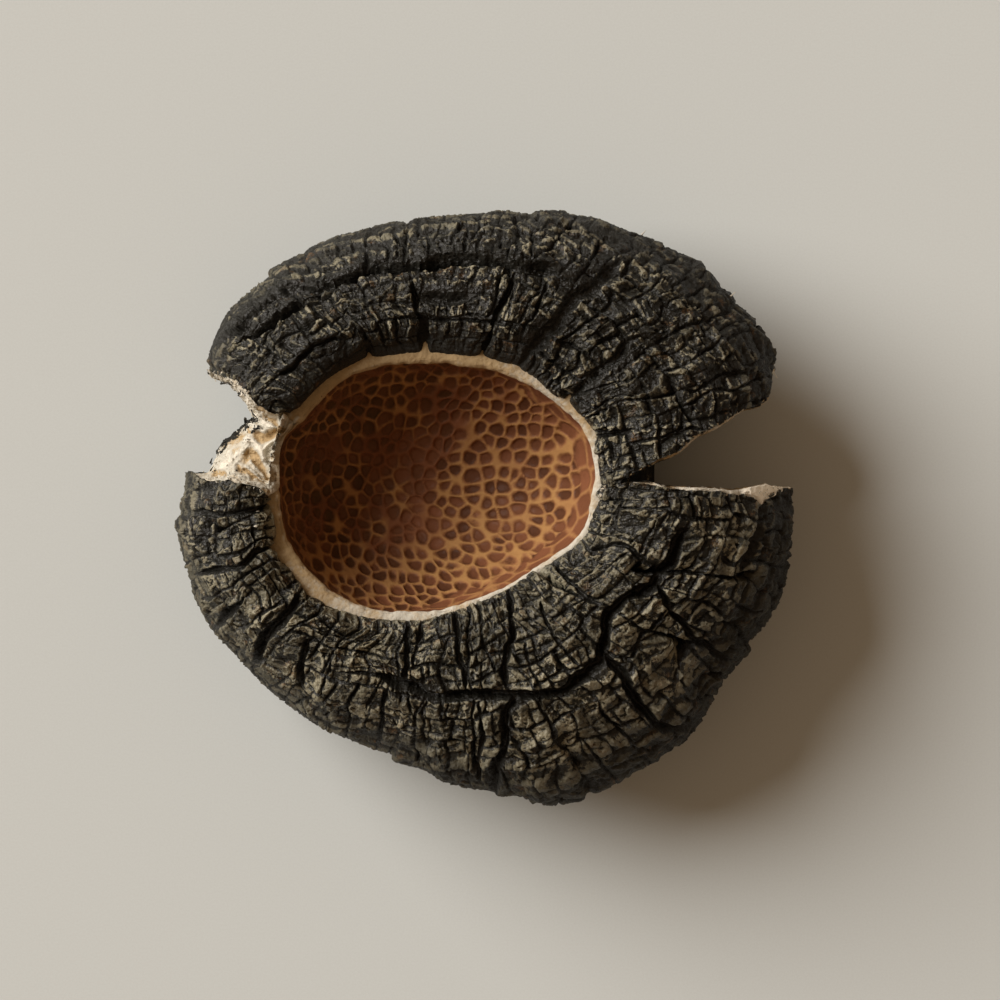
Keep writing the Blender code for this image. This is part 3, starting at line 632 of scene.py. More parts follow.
def profile_rows():
    """The shares and heights of the rows from the ring to the outline, and of those on to the foot."""
    crust = smooth(CRUST, closed=False)
    run = np.append(0, np.cumsum(np.linalg.norm(np.diff(crust * (CRUST_BREADTH, 1), axis=0), axis=1)))
    turn_over = np.interp(TOP_SHARE, crust[:, 0], run)
    where = np.append(np.linspace(0, turn_over, TOP_ROWS), np.linspace(turn_over, run[-1], EDGE_ROWS + 1)[1:])
    share, crust_z = (np.interp(where, run, column) for column in crust.T)
    under = smooth(UNDERSIDE, closed=False)
    foot = np.interp(0, -under[:, 1], under[:, 0])
    under = np.vstack((under[under[:, 1] > 0], (foot, 0))) * (CRUST_BREADTH, 1)
    under = resample(under, np.linspace(0, 1, UNDER_ROWS + 1))
    return share, crust_z, under[1:, 0] / CRUST_BREADTH, under[1:, 1]


def outward_of(surface):
    """The direction straight out of a closed ring of meridians at each place, and the steps down them."""
    step_down = np.gradient(surface, axis=0)
    step_round = np.roll(surface, -1, axis=1) - np.roll(surface, 1, axis=1)
    outward = np.cross(step_down, step_round)
    return outward / np.linalg.norm(outward, axis=-1, keepdims=True), np.linalg.norm(step_down, axis=-1)


def blurred(values, reach_of):
    """The mean of the values round each place. The first axis ends, and the second closes on itself."""
    padded = np.pad(values, ((reach_of, reach_of), (0, 0)), mode="edge")
    total = np.mean([padded[step:step + len(values)] for step in range(2 * reach_of + 1)], axis=0)
    return np.mean([np.roll(total, step, axis=1) for step in range(-reach_of, reach_of + 1)], axis=0)


class Crust:
    """The whole crust from the ring over the edge to the foot, with one column for each meridian."""

    def __init__(self):
        """Lays out the plain surface, and how far round and down each of its places is."""
        angles = np.linspace(0, 2 * np.pi, COLUMNS, endpoint=False)
        self.outline, ring, lip = (reach(points, angles) for points in (OUTLINE, RING_EDGE, HOLLOW_EDGE))
        rim = ring - np.clip(0.3 * (ring - lip), 0, OVERHANG)
        self.heading = np.stack((np.cos(angles), np.sin(angles)), axis=-1)
        self.share, crust_z, fraction, under_z = profile_rows()
        on_top = rim + self.share[:, None] * (self.outline - rim)
        self.arm = np.vstack((on_top, fraction[:, None] * self.outline))
        self.height = np.append(crust_z, under_z)[:, None] * np.ones(COLUMNS)
        self.surface = np.dstack((HOLLOW_CENTRE + self.heading * self.arm[..., None], self.height))
        self.outward, step = outward_of(self.surface)
        self.run = np.cumsum(step, axis=0)
        self.stray = np.stack([
            0.6 * grain(self.surface, 3.2, seed) + 0.4 * grain(self.surface, 1.1, seed) for seed in (21, 22)
        ])
        self.down = self.run + lumps(self.surface, WANDER_DOWN, 4) + 0.55 * self.stray[0]
        wander = (lumps(self.surface, WANDER_ROUND, 3) + 0.55 * self.stray[1]) / self.arm
        self.turn = np.mod(angles + wander - SEAM, 2 * np.pi) + SEAM
        self.at_edge = np.clip((self.arm / self.outline - 0.93) / 0.06, 0, 1)
        self.shoulder = window(angles, *SHOULDER)
        # Painted shade: this smooth band along the ring is also coloured darker.
        self.bare_in_shade = self.shoulder * np.clip(1.5 - self.run / (5.5 + 2 * grain(self.surface, 9, 24)), 0, 1)

    def crack(self, coarse, fine):
        """Finds the checks and the large cracks: how deep they are, and what is black in them, with the
        risers beside them painted black as shade.
        """
        shape = self.turn.shape
        given = (self.turn.ravel(), self.down.ravel(), self.arm.ravel(), coarse, fine)
        checks, self.faces, self.block_tint, self.apart = (each.reshape(shape) for each in checked(*given))
        over_edge = np.arange(shape[0])[:, None] >= len(self.share)
        seen = np.where(over_edge, np.minimum(self.arm, self.outline - 0.5), self.arm)
        plan = (HOLLOW_CENTRE + self.heading * seen[..., None]).transpose(2, 0, 1)
        x, y = (plan + 0.8 * self.stray).reshape(2, -1)
        lower = 0.85 * crack_depth(x, y, LOWER_CRACKS)[0].reshape(shape)
        upper, terrace, self.riser_shade = (each.reshape(shape) for each in crack_depth(x, y, UPPER_CRACKS, 1.2))
        self.cracks = np.maximum(lower, upper)
        black = np.maximum(self.cracks, checks) * (1 - 0.3 * self.at_edge)
        self.cracks *= 1 - 0.88 * self.at_edge
        self.terrace = terrace * (1 - self.at_edge)
        checks *= 1 - 0.85 * self.at_edge
        on_top = np.clip((self.height - 46) / 14, 0, 1)
        patchy = 0.7 + 0.6 * grain(self.surface, 11, 23)
        kept = np.clip(1 - on_top * (1 - patchy), 0, 1) * (1 - 0.7 * self.bare_in_shade)
        self.sunk = np.maximum(self.cracks, checks * kept)
        # Coloured black: the cracks, and as painted shade the risers beside the upper cracks.
        self.black = np.maximum(np.maximum(self.sunk, self.riser_shade), black * kept * self.at_edge)

    def crumple(self, relief):
        """Breaks the blocks into hollowed faces, ledges and wrinkles: their heights, and each face's tint."""
        unrolled = np.dstack((self.turn * UNROLLED, self.down)) + 0.8 * self.stray.transpose(1, 2, 0)
        faces, tint = self.faces, 0.5 + 0.15 * self.block_tint
        for size, tilt, hollow, seed, height_share, tint_share in FACES:
            height, number = scallops(unrolled, size, tilt, hollow, seed)
            faces = faces + height_share * height
            tint = tint + tint_share * (number - 0.5)
        lobe = np.clip((self.surface[..., 1] - 20) / 20, 0, 1)
        ledges = 0.3 * ridged(unrolled * (0.22, 1), 4.2, 27)
        ledges += 0.16 * lobe * ridged(unrolled * (1, 0.22), 1.1, 28)
        wrinkles = 0.08 * ridged(self.surface, 1.3, 25) + 0.04 * ridged(self.surface, 0.7, 26)
        calm = np.clip(self.run / (4 + 12 * self.shoulder), 0.45 - 0.3 * self.shoulder, 1)
        calm *= 1 - 0.4 * self.at_edge
        calm *= 1 - 0.75 * np.clip(np.maximum(self.bare_in_shade, np.maximum(self.riser_shade, self.cracks / 2)), 0, 1)
        return relief * calm * (0.95 * faces + ledges + wrinkles - 0.3), tint

    def shape(self, rough):
        """Moves the surface by its lumps, its relief and its cracks, and sets it down on the floor."""
        from_rim = np.clip(self.run / 2.5, 0, 1)
        swell = lumps(self.surface, BROAD_LUMP, 5) + lumps(self.surface, SMALL_LUMP, 6)
        offset = swell * np.clip(self.run / 5, 0, 1) + (rough - self.sunk) * from_rim
        offset *= np.clip(self.height / FOOT_FADE, 0, 1)
        self.surface += self.outward * offset[..., None]
        self.surface[..., 2] += self.terrace * from_rim
        under_rows = len(self.surface) - len(self.share)
        spread_to(self.surface, self.outline, np.append(self.share, np.ones(under_rows)))
        self.surface -= (*MIDDLE, 0)
        over_crest = np.clip(self.surface[..., 2] - CREST, 0, None)
        self.surface[..., 2] = np.maximum(self.surface[..., 2] - 0.5 * over_crest, CLEARANCE)

    def layers(self, rough, tint):
        """What colours the crust: its relief, its cracks with the painted shade of their risers, its tint
        with painted light and shade, its wear with painted light, and how near a check is.
        """
        # Painted light and shade: lighter towards the lower lobe and darker towards the upper lobe, as the
        # light falls on them, and darker on the smooth shoulder by the ring.
        tint = tint + (0.27 - 0.51 * np.clip((self.surface[..., 1] + 20) / 50, 0, 1) - 0.45 * self.bare_in_shade)
        far_out = self.arm / self.outline
        # Painted shade: the outer band on the right and lower right faces away from the light, so it is
        # coloured darker, with less of the pale wear.
        shaded_far_side = np.clip(self.heading[:, 0] - 0.6 * self.heading[:, 1] - 0.1, 0, 1)
        shaded_far_side = np.clip((far_out - 0.84) / 0.12, 0, 1) * shaded_far_side
        # Pale wear, partly painted light: more on the higher parts, less on the shaded shoulder by the ring,
        # on the shaded far side and near the outline.
        worn_and_lit = np.clip((self.height - 22) / 14, 0, 1)
        worn_and_lit *= 1 - self.shoulder * np.clip(1.3 - self.run / 13, 0, 1)
        worn_and_lit *= (1 - 0.85 * shaded_far_side) * (1 - 0.5 * np.clip((far_out - 0.9) / 0.08, 0, 1))
        raised = rough - blurred(rough, 5)
        tint = tint - 0.3 * shaded_far_side
        return {"raised": raised, "sunk": self.black, "tint": tint, "worn_and_lit": worn_and_lit, "apart": self.apart}


@functools.cache
def crust_shell(relief, coarse, fine):
    """The finished surface of the whole crust, and the layers that colour it."""
    crust = Crust()
    crust.crack(coarse, fine)
    rough, tint = crust.crumple(relief)
    crust.shape(rough)
    return crust.surface, crust.layers(rough, tint)


def deselect():
    """Nothing selected, so that an operator acts on the new piece alone."""
    for thing in bpy.context.view_layer.objects:
        thing.select_set(False)


def sheet_of(name, surface, finish, values=None, closed=False):
    """A piece from a grid of places in millimetres. A closed one joins its last column to its first."""
    if closed:
        surface = np.concatenate((surface, surface[:, :1]), axis=1)
        values = {key: np.concatenate((each, each[:, :1]), axis=1) for key, each in (values or {}).items()}
    rows, columns = surface.shape[:2]
    deselect()
    bpy.ops.mesh.primitive_grid_add(x_subdivisions=columns - 1, y_subdivisions=rows - 1, size=2)
    piece = bpy.context.object
    piece.name = piece.data.name = name
    if len(piece.data.vertices) != rows * columns:
        raise RuntimeError(f"{name} has {len(piece.data.vertices)} points, not {rows * columns}")
    piece.data.vertices.foreach_set("co", (surface * MM).astype(np.float32).ravel())
    for key, each in (values or {}).items():
        layer = piece.data.attributes.new(key, "FLOAT", "POINT")
        layer.data.foreach_set("value", np.broadcast_to(each, (rows, columns)).astype(np.float32).ravel())
    piece.data.materials.append(finish)
    bpy.ops.object.shade_smooth()
    if closed:
        join_seam(piece)
    piece.data.update()
    return piece


def join_seam(piece):
    """Joins the points that lie on each other, where a closed sheet meets itself."""
    bpy.ops.object.mode_set(mode="EDIT")
    bpy.ops.mesh.select_all(action="SELECT")
    bpy.ops.mesh.remove_doubles(threshold=0.00001)
    bpy.ops.object.mode_set(mode="OBJECT")


def inside_of(outline, x, y):
    """Which places lie inside a closed outline, seen from above."""
    within = np.zeros(x.shape, bool)
    for (x0, y0), (x1, y1) in zip(outline, np.roll(outline, -1, axis=0)):
        crosses = (y0 > y) != (y1 > y)
        within ^= crosses & (x < (x1 - x0) * (y - y0) / (y1 - y0 + 1e-12) + x0)
    return within


def traced(places, lines):
    """How strongly each place seen from above lies on lines that have their own widths and strengths."""
    total = np.zeros(places.shape[:-1])
    for width, most, points in lines:
        curve = smooth(points, 4, closed=False)
        gap = np.full(total.shape, np.inf)
        for start, end in zip(curve[:-1], curve[1:]):
            line = end - start
            along = np.clip((places - start) @ line / (line @ line), 0, 1)
            gap = np.minimum(gap, np.linalg.norm(places - start - along[..., None] * line, axis=-1))
        total = np.maximum(total, most * np.exp(-((gap / width) ** 2)))
    return total


def nearest_on(outline, places):
    """The nearest places on a closed outline, and how far they are."""
    best = np.full(len(places), np.inf)
    nearest = np.zeros(places.shape)
    for start, end in zip(outline, np.roll(outline, -1, axis=0)):
        line = end - start
        along = np.clip((places - start) @ line / max(line @ line, 1e-9), 0, 1)
        spot = start + along[:, None] * line
        gap = np.hypot(*(places - spot).T)
        closer = gap < best
        best = np.where(closer, gap, best)
        nearest[closer] = spot[closer]
    return nearest, best


def ragged(outline, size, amount, seed):
    """An outline with a torn edge: finer steps, each pushed a little to one side."""
    closed = np.vstack((outline, outline[:1])).astype(float)
    run = np.append(0, np.cumsum(np.hypot(*np.diff(closed, axis=0).T)))
    where = np.arange(0, run[-1], size)
    line = np.stack([np.interp(where, run, column) for column in closed.T], axis=-1)
    draw = np.random.default_rng(seed)
    return line + draw.uniform(-amount, amount, line.shape)


def cut_edges(piece, outlines, lowest, highest):
    """Deletes what lies inside the outlines between two heights. Points near an outline move on to it."""
    count = len(piece.data.vertices)
    places = np.empty(count * 3, np.float32)
    piece.data.vertices.foreach_get("co", places)
    places = places.reshape(-1, 3) / MM
    gone = np.zeros(count, bool)
    level = (places[:, 2] >= lowest) & (places[:, 2] < highest)
    for outline in outlines:
        inside = np.flatnonzero(inside_of(outline, places[:, 0], places[:, 1]) & level)
        if not len(inside):
            continue
        spot, gap = nearest_on(outline, places[inside, :2])
        close = gap < SNAP
        places[inside[close], :2] = spot[close]
        gone[inside[~close]] = True
    if not gone.any():
        return
    piece.data.vertices.foreach_set("co", (places * MM).astype(np.float32).ravel())
    deselect()
    piece.select_set(True)
    bpy.context.view_layer.objects.active = piece
    bpy.ops.object.mode_set(mode="EDIT")
    bpy.ops.mesh.select_all(action="DESELECT")
    bpy.ops.object.mode_set(mode="OBJECT")
    piece.data.vertices.foreach_set("select", gone)
    bpy.ops.object.mode_set(mode="EDIT")
    bpy.ops.mesh.delete(type="VERT")
    bpy.ops.object.mode_set(mode="OBJECT")


@functools.cache
def shell_tree():
    """The whole crust as a tree of faces to ask for heights, in millimetres."""
    shell = crust_shell(*shape_settings())[0][::2, ::2]
    rows, columns = shell.shape[:2]
    corner = np.arange(rows * columns).reshape(rows, columns)
    beside = np.roll(corner, -1, axis=1)
    quads = np.stack((corner[:-1], corner[1:], beside[1:], beside[:-1]), axis=-1).reshape(-1, 4)
    return BVHTree.FromPolygons(shell.reshape(-1, 3).tolist(), quads.tolist())


def crust_heights(x, y):
    """The heights of the crust's top and underside at a place seen from above, or None outside them."""
    above = shell_tree().ray_cast(Vector((x, y, SKY)), Vector((0, 0, -1)))[0]
    below = shell_tree().ray_cast(Vector((x, y, -20)), Vector((0, 0, 1)))[0]
    if above is None or below is None:
        return None
    return above.z, below.z


def shape_settings():
    """The crust's relief, and its sizes that a user can change, in millimetres."""
    shape = bpy.context.scene.chaga_shape
    return shape.relief, shape.block / MM, shape.chip / MM


def finish_piece(piece, slot):
    """Every piece rides on the one body and stands for the one solid."""
    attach(piece, "root")
    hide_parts(NODE)


def node(tree, kind, inputs=None, **settings):
    """A node with its settings, whose inputs are values or links from other nodes."""
    made = tree.nodes.new(kind)
    for name, value in settings.items():
        setattr(made, name, value)
    for socket, value in (inputs or {}).items():
        if isinstance(value, bpy.types.NodeSocket):
            tree.links.new(value, made.inputs[socket])
        else:
            made.inputs[socket].default_value = value
    return made


def maths(tree, operation, first, second):
    return node(tree, "ShaderNodeMath", {0: first, 1: second}, operation=operation).outputs[0]


def plus(tree, first, second):
    return maths(tree, "ADD", first, second)


def minus(tree, first, second):
    return maths(tree, "SUBTRACT", first, second)


def times(tree, first, second):
    return maths(tree, "MULTIPLY", first, second)


def either_way(tree, value, amount):
    """A value from 0 to 1, made to swing to both sides of nothing by half the amount."""
    return times(tree, minus(tree, value, 0.5), amount)


def vector_maths(tree, operation, first, second):
    return node(tree, "ShaderNodeVectorMath", {0: first, 1: second}, operation=operation)


def mixed(tree, share, below, above):
    """One colour over another, as much of it as the share says. Each is a link or a plain colour."""
    inputs = {6: below, 7: above}
    for socket, colour_of in inputs.items():
        if not isinstance(colour_of, bpy.types.NodeSocket):
            inputs[socket] = (*colour_of, 1.0)
    return node(tree, "ShaderNodeMix", {0: share, **inputs}, data_type="RGBA").outputs[2]


def between(tree, value, low, high):
    """0 where the value is low and 1 where it is high, eased between them."""
    inputs = {"Value": value, "From Min": low, "From Max": high}
    return node(tree, "ShaderNodeMapRange", inputs, interpolation_type="SMOOTHSTEP").outputs[0]


def noise(tree, place, size, detail=3.0):
    """Noise with lumps about so many metres large."""
    inputs = {"Vector": place, "Scale": 1 / size, "Detail": detail, "Roughness": 0.55}
    return node(tree, "ShaderNodeTexNoise", inputs).outputs[0]


def layer(tree, name):
    return node(tree, "ShaderNodeAttribute", attribute_name=name).outputs["Fac"]


def object_place(tree):
    return node(tree, "ShaderNodeTexCoord").outputs["Object"]


def new_group(name, size, outputs):
    """A node group with a size as its input: its tree, its size, the size's inverse, and its end node."""
    tree = bpy.data.node_groups.new(name, "ShaderNodeTree")
    tree.interface.new_socket("Size", in_out="INPUT", socket_type="NodeSocketFloat").default_value = size
    for output in outputs:
        tree.interface.new_socket(output, in_out="OUTPUT", socket_type="NodeSocketFloat")
    given = tree.nodes.new("NodeGroupInput").outputs["Size"]
    return tree, given, maths(tree, "DIVIDE", 1.0, given), tree.nodes.new("NodeGroupOutput")


@functools.cache
def dry_grain():
    """The fine dry grain that all the surfaces have: a mask of it and the height that it stands up."""
    tree, _, scale, put = new_group("dry grain", 0.0006, ("Mask", "Height"))
    place = object_place(tree)
    inputs = {"Vector": place, "Scale": scale, "Detail": 3.0, "Roughness": 0.65}
    rough = node(tree, "ShaderNodeTexNoise", inputs).outputs[0]
    inputs = {"Vector": place, "Scale": times(tree, scale, 0.45)}
    broken = node(tree, "ShaderNodeTexVoronoi", inputs, feature="F1").outputs["Distance"]
    tree.links.new(between(tree, rough, 0.35, 0.68), put.inputs["Mask"])
    tree.links.new(plus(tree, times(tree, rough, 0.65), times(tree, broken, 0.35)), put.inputs["Height"])
    return tree


def grained(tree, size):
    """The dry grain placed in a material: its mask and its height."""
    placed = node(tree, "ShaderNodeGroup", {"Size": size}, node_tree=dry_grain())
    return placed.outputs["Mask"], placed.outputs["Height"]


@functools.cache
def broken_facets():
    """Small hollowed faces that each lean their own way: their height in metres, and a number for each."""
    tree, size, scale, put = new_group("broken facets", 0.002, ("Height", "Number"))
    place = object_place(tree)
    warp = node(tree, "ShaderNodeTexNoise", {"Vector": place, "Scale": scale, "Detail": 2.0}).outputs["Color"]
    warp = vector_maths(tree, "SUBTRACT", warp, (0.5, 0.5, 0.5)).outputs[0]
    shift = node(tree, "ShaderNodeVectorMath", {0: warp, "Scale": size}, operation="SCALE").outputs[0]
    moved = vector_maths(tree, "ADD", place, shift).outputs[0]
    broken = node(tree, "ShaderNodeTexVoronoi", {"Vector": moved, "Scale": scale}, feature="F1")
    way = vector_maths(tree, "SUBTRACT", moved, broken.outputs["Position"]).outputs[0]
    lean = vector_maths(tree, "SUBTRACT", broken.outputs["Color"], (0.5, 0.5, 0.5)).outputs[0]
    tilt = vector_maths(tree, "DOT_PRODUCT", way, lean).outputs["Value"]
    bowl = vector_maths(tree, "DOT_PRODUCT", way, way).outputs["Value"]
    bowl = times(tree, bowl, times(tree, scale, 0.45))
    number = node(tree, "ShaderNodeSeparateColor", {0: broken.outputs["Color"]}).outputs[0]
    tree.links.new(plus(tree, tilt, bowl), put.inputs["Height"])
    tree.links.new(number, put.inputs["Number"])
    return tree


def faceted(tree, size):
    """The broken faces placed in a material: their height and their numbers."""
    placed = node(tree, "ShaderNodeGroup", {"Size": size}, node_tree=broken_facets())
    return placed.outputs["Height"], placed.outputs["Number"]


def new_material(name, roughness, specular):
    """A material, its tree and its shader, with a roughness and a specular level for all of it."""
    finish = bpy.data.materials.new(name)
    finish.use_nodes = True
    shader = finish.node_tree.nodes["Principled BSDF"]
    shader.inputs["Roughness"].default_value = roughness
    shader.inputs["Specular IOR Level"].default_value = specular
    return finish, finish.node_tree, shader


def bump(tree, shader, height, distance, strength):
    made = node(tree, "ShaderNodeBump", {"Height": height, "Distance": distance, "Strength": strength})
    tree.links.new(made.outputs[0], shader.inputs["Normal"])


@functools.cache
def crust_finish():
    """Charred black crust: dark in its cracks and, as painted shade, on the risers beside them, pale with
    powder and a painted highlight where it stands up, with a few rusty flecks.
    """
    colours = bpy.context.scene.chaga_colours
    finish, tree, shader = new_material("black crust", 0.5, 0.35)
    place = object_place(tree)
    mask, height = grained(tree, 0.0006)
    facets, number = faceted(tree, 0.0011)
    raised, sunk, tint = (layer(tree, name) for name in ("raised", "sunk", "tint"))
    worn_and_lit, apart = (layer(tree, name) for name in ("worn_and_lit", "apart"))

    uneven = plus(tree, plus(tree, tint, either_way(tree, number, 0.12)), either_way(tree, mask, 0.5))
    uneven = plus(tree, uneven, either_way(tree, noise(tree, place, 0.0045, 4.0), 1.1))
    base = mixed(tree, between(tree, uneven, 0.15, 0.75), colours.pit, colours.crust)
    patches = between(tree, noise(tree, place, 0.01), 0.36, 0.66)
    # Pale powder, partly a painted highlight: on what stands up and on the lit higher parts.
    dusty_and_lit = times(tree, between(tree, plus(tree, times(tree, raised, 1.8), uneven), 0.52, 0.98), worn_and_lit)
    dusty_and_lit = times(tree, dusty_and_lit, plus(tree, times(tree, patches, 0.7), 0.3))
    base = mixed(tree, dusty_and_lit, base, colours.dust_and_highlight)
    rusty = times(tree, between(tree, noise(tree, place, 0.005, 4.0), 0.58, 0.72), mask)
    base = mixed(tree, rusty, base, colours.rust)
    apart = plus(tree, apart, either_way(tree, noise(tree, place, 0.003), 0.9))
    hairline = minus(tree, 1.0, between(tree, apart, 0.12, 0.34))
    base = mixed(tree, times(tree, hairline, 0.85), base, colours.pit)
    # The cracks are coloured pit-dark; on the risers this is painted shade.
    base = mixed(tree, between(tree, sunk, 0.15, 0.55), base, colours.pit)
    tree.links.new(base, shader.inputs["Base Color"])

    dull = minus(tree, plus(tree, times(tree, mask, 0.25), 0.62), times(tree, worn_and_lit, 0.28))
    tree.links.new(dull, shader.inputs["Roughness"])
    bump(tree, shader, plus(tree, times(tree, facets, 0.6), times(tree, height, 0.0003)), 1.0, 1.0)
    return finish


@functools.cache
def flesh_finish():
    """Dry flesh: cream where it is freshly torn and where light is painted, tan and ochre in its folds and
    where shade is painted, specked with black crust.
    """
    colours = bpy.context.scene.chaga_colours
    finish, tree, shader = new_material("torn flesh", 0.85, 0.2)
    place = object_place(tree)
    mask, height = grained(tree, 0.0008)
    tone, black = layer(tree, "tone"), layer(tree, "black")
    # The tan share carries the flesh's own tan and the painted shade of the ring, the dips and the bite's
    # inner face.
    deep = between(tree, plus(tree, tone, times(tree, mask, 0.2)), 0.1, 1.1)
    base = mixed(tree, deep, colours.flesh, colours.tan)
    stain = between(tree, noise(tree, place, 0.0035), 0.55, 0.75)
    base = mixed(tree, times(tree, stain, 0.35), base, colours.ochre)
    # Palest cream where the tone falls below nothing: partly painted light on crests and on the split's pale
    # patch.
    fresh_and_lit = minus(tree, 1.0, between(tree, tone, -0.7, 0.0))
    base = mixed(tree, fresh_and_lit, base, colours.fresh_and_lit)
    speck = between(tree, noise(tree, place, 0.0011, 2.0), 0.7, 0.76)
    base = mixed(tree, times(tree, speck, 0.7), base, colours.rust)
    skin = plus(tree, black, either_way(tree, mask, 0.6))
    base = mixed(tree, between(tree, skin, 0.35, 0.65), base, colours.pit)
    tree.links.new(base, shader.inputs["Base Color"])
    bump(tree, shader, height, 0.0006, 0.8)
    return finish


@functools.cache
def hollow_finish():
    """The hollow: smooth red-brown cells, faintly glossy, in a raised net of dry tan."""
    colours = bpy.context.scene.chaga_colours
    finish, tree, shader = new_material("netted hollow", 0.6, 0.06)
    place = object_place(tree)
    mask, height = grained(tree, 0.0012)
    net, cell, dim, shade = (layer(tree, name) for name in ("net", "cell", "dim", "shade"))
    border = plus(tree, net, either_way(tree, noise(tree, place, 0.0018), 1.1))
    thread = minus(tree, 1.0, between(tree, border, -0.45, 1.3))
    depth = times(tree, between(tree, border, 0.35, 1.35), plus(tree, times(tree, cell, 0.75), 0.35))
    brown = mixed(tree, depth, colours.red, mixed(tree, shade, colours.cell, colours.umber))
    brown = mixed(tree, times(tree, shade, 0.4), brown, colours.umber)
    cloud = times(tree, between(tree, noise(tree, place, 0.02, 2.0), 0.35, 0.7), dim)
    brown = mixed(tree, times(tree, cloud, 0.6), brown, colours.red)
    base = mixed(tree, times(tree, thread, minus(tree, 1.0, dim)), brown, colours.net)
    base = mixed(tree, times(tree, mask, 0.12), base, colours.red)
    tree.links.new(base, shader.inputs["Base Color"])
    tree.links.new(plus(tree, times(tree, thread, 0.3), 0.4), shader.inputs["Roughness"])
    bulge = times(tree, between(tree, border, -0.2, 1.6), 2.2)
    bump(tree, shader, plus(tree, bulge, height), 0.00025, 0.8)
    return finish


@functools.cache
def floor_finish():
    """The pale, faintly grainy floor."""
    colours = bpy.context.scene.chaga_colours
    finish, tree, shader = new_material("pale floor", 0.9, 0.1)
    mask, height = grained(tree, 0.0007)
    base = mixed(tree, times(tree, mask, 0.06), colours.floor, colours.shadow)
    tree.links.new(base, shader.inputs["Base Color"])
    bump(tree, shader, height, 0.00004, 0.3)
    return finish


def cut_outlines(top):
    """The split and the bite where they meet the crust on top, or under the edge."""
    split = ragged(SPLIT_EDGE, *TEAR, 41) - MIDDLE
    bite = ragged(BITE_EDGE if top else BITE_UNDER, *TEAR, 42) - MIDDLE
    return split, bite


class ConkOperator:
    """What all the operators have in common."""

    bl_options = {"REGISTER", "UNDO"}


class CHAGA_OT_crust(ConkOperator, bpy.types.Operator):
    """The cracked black crust, in five pieces on top and two round the edge and underside"""

    bl_idname = "chaga.crust"
    bl_label = "Crust"

    # Each piece's name, first row, last row, and the turns in degrees where it starts and ends
    pieces = (
        ("upper_right_crust", 0, TOP_ROWS - 1, 10, 87),
        ("upper_left_crust", 0, TOP_ROWS - 1, 87, 165),
        ("left_crust", 0, TOP_ROWS - 1, 165, 235),
        ("lower_crust", 0, TOP_ROWS - 1, 235, 302),
        ("right_crust", 0, TOP_ROWS - 1, 302, 370),
        ("upper_side", TOP_ROWS - 1, None, 10, 190),
        ("lower_side", TOP_ROWS - 1, None, 190, 370),
    )

    def execute(self, context):
        shell, layers = crust_shell(*shape_settings())
        for name, first, last, start, end in self.pieces:
            rows = slice(first, None if last is None else last + 1)
            columns = np.arange(round(start / 360 * COLUMNS), round(end / 360 * COLUMNS) + 1) % COLUMNS
            part = {key: each[rows][:, columns] for key, each in layers.items()}
            piece = sheet_of(name, shell[rows][:, columns], crust_finish(), part)
            self.cut(piece)
            finish_piece(piece, "crust")
        return {"FINISHED"}

    def cut(self, piece):
        cut_edges(piece, cut_outlines(True), LEDGE, math.inf)
        cut_edges(piece, cut_outlines(False), -math.inf, LEDGE)


class CHAGA_OT_foot(ConkOperator, bpy.types.Operator):
    """The flat cut where the conk left its tree"""

    bl_idname = "chaga.foot"
    bl_label = "Foot"

    def execute(self, context):
        edge = crust_shell(*shape_settings())[0][-1]
        middle = np.array((*HOLLOW_CENTRE, 0))
        share = np.linspace(0, 1, 26)[:, None, None]
        surface = middle + (edge[::4] - middle) * share
        in_split = inside_of(np.array(SPLIT_EDGE), surface[..., 0], surface[..., 1])
        surface[..., 0] = np.where(in_split, np.minimum(surface[..., 0], SPLIT_STEPS[-1][0]), surface[..., 0])
        surface[..., 2] = CLEARANCE + 0.15 * (1 + grain(surface, 6, 71))
        ring = 0.5 + 0.5 * grain(surface * (1, 1, 0), 9, 72)
        layers = {"tone": 0.3 + 0.6 * ring, "black": ring * 0.3}
        finish_piece(sheet_of("foot", surface[::-1], flesh_finish(), layers, True), "flesh")
        return {"FINISHED"}


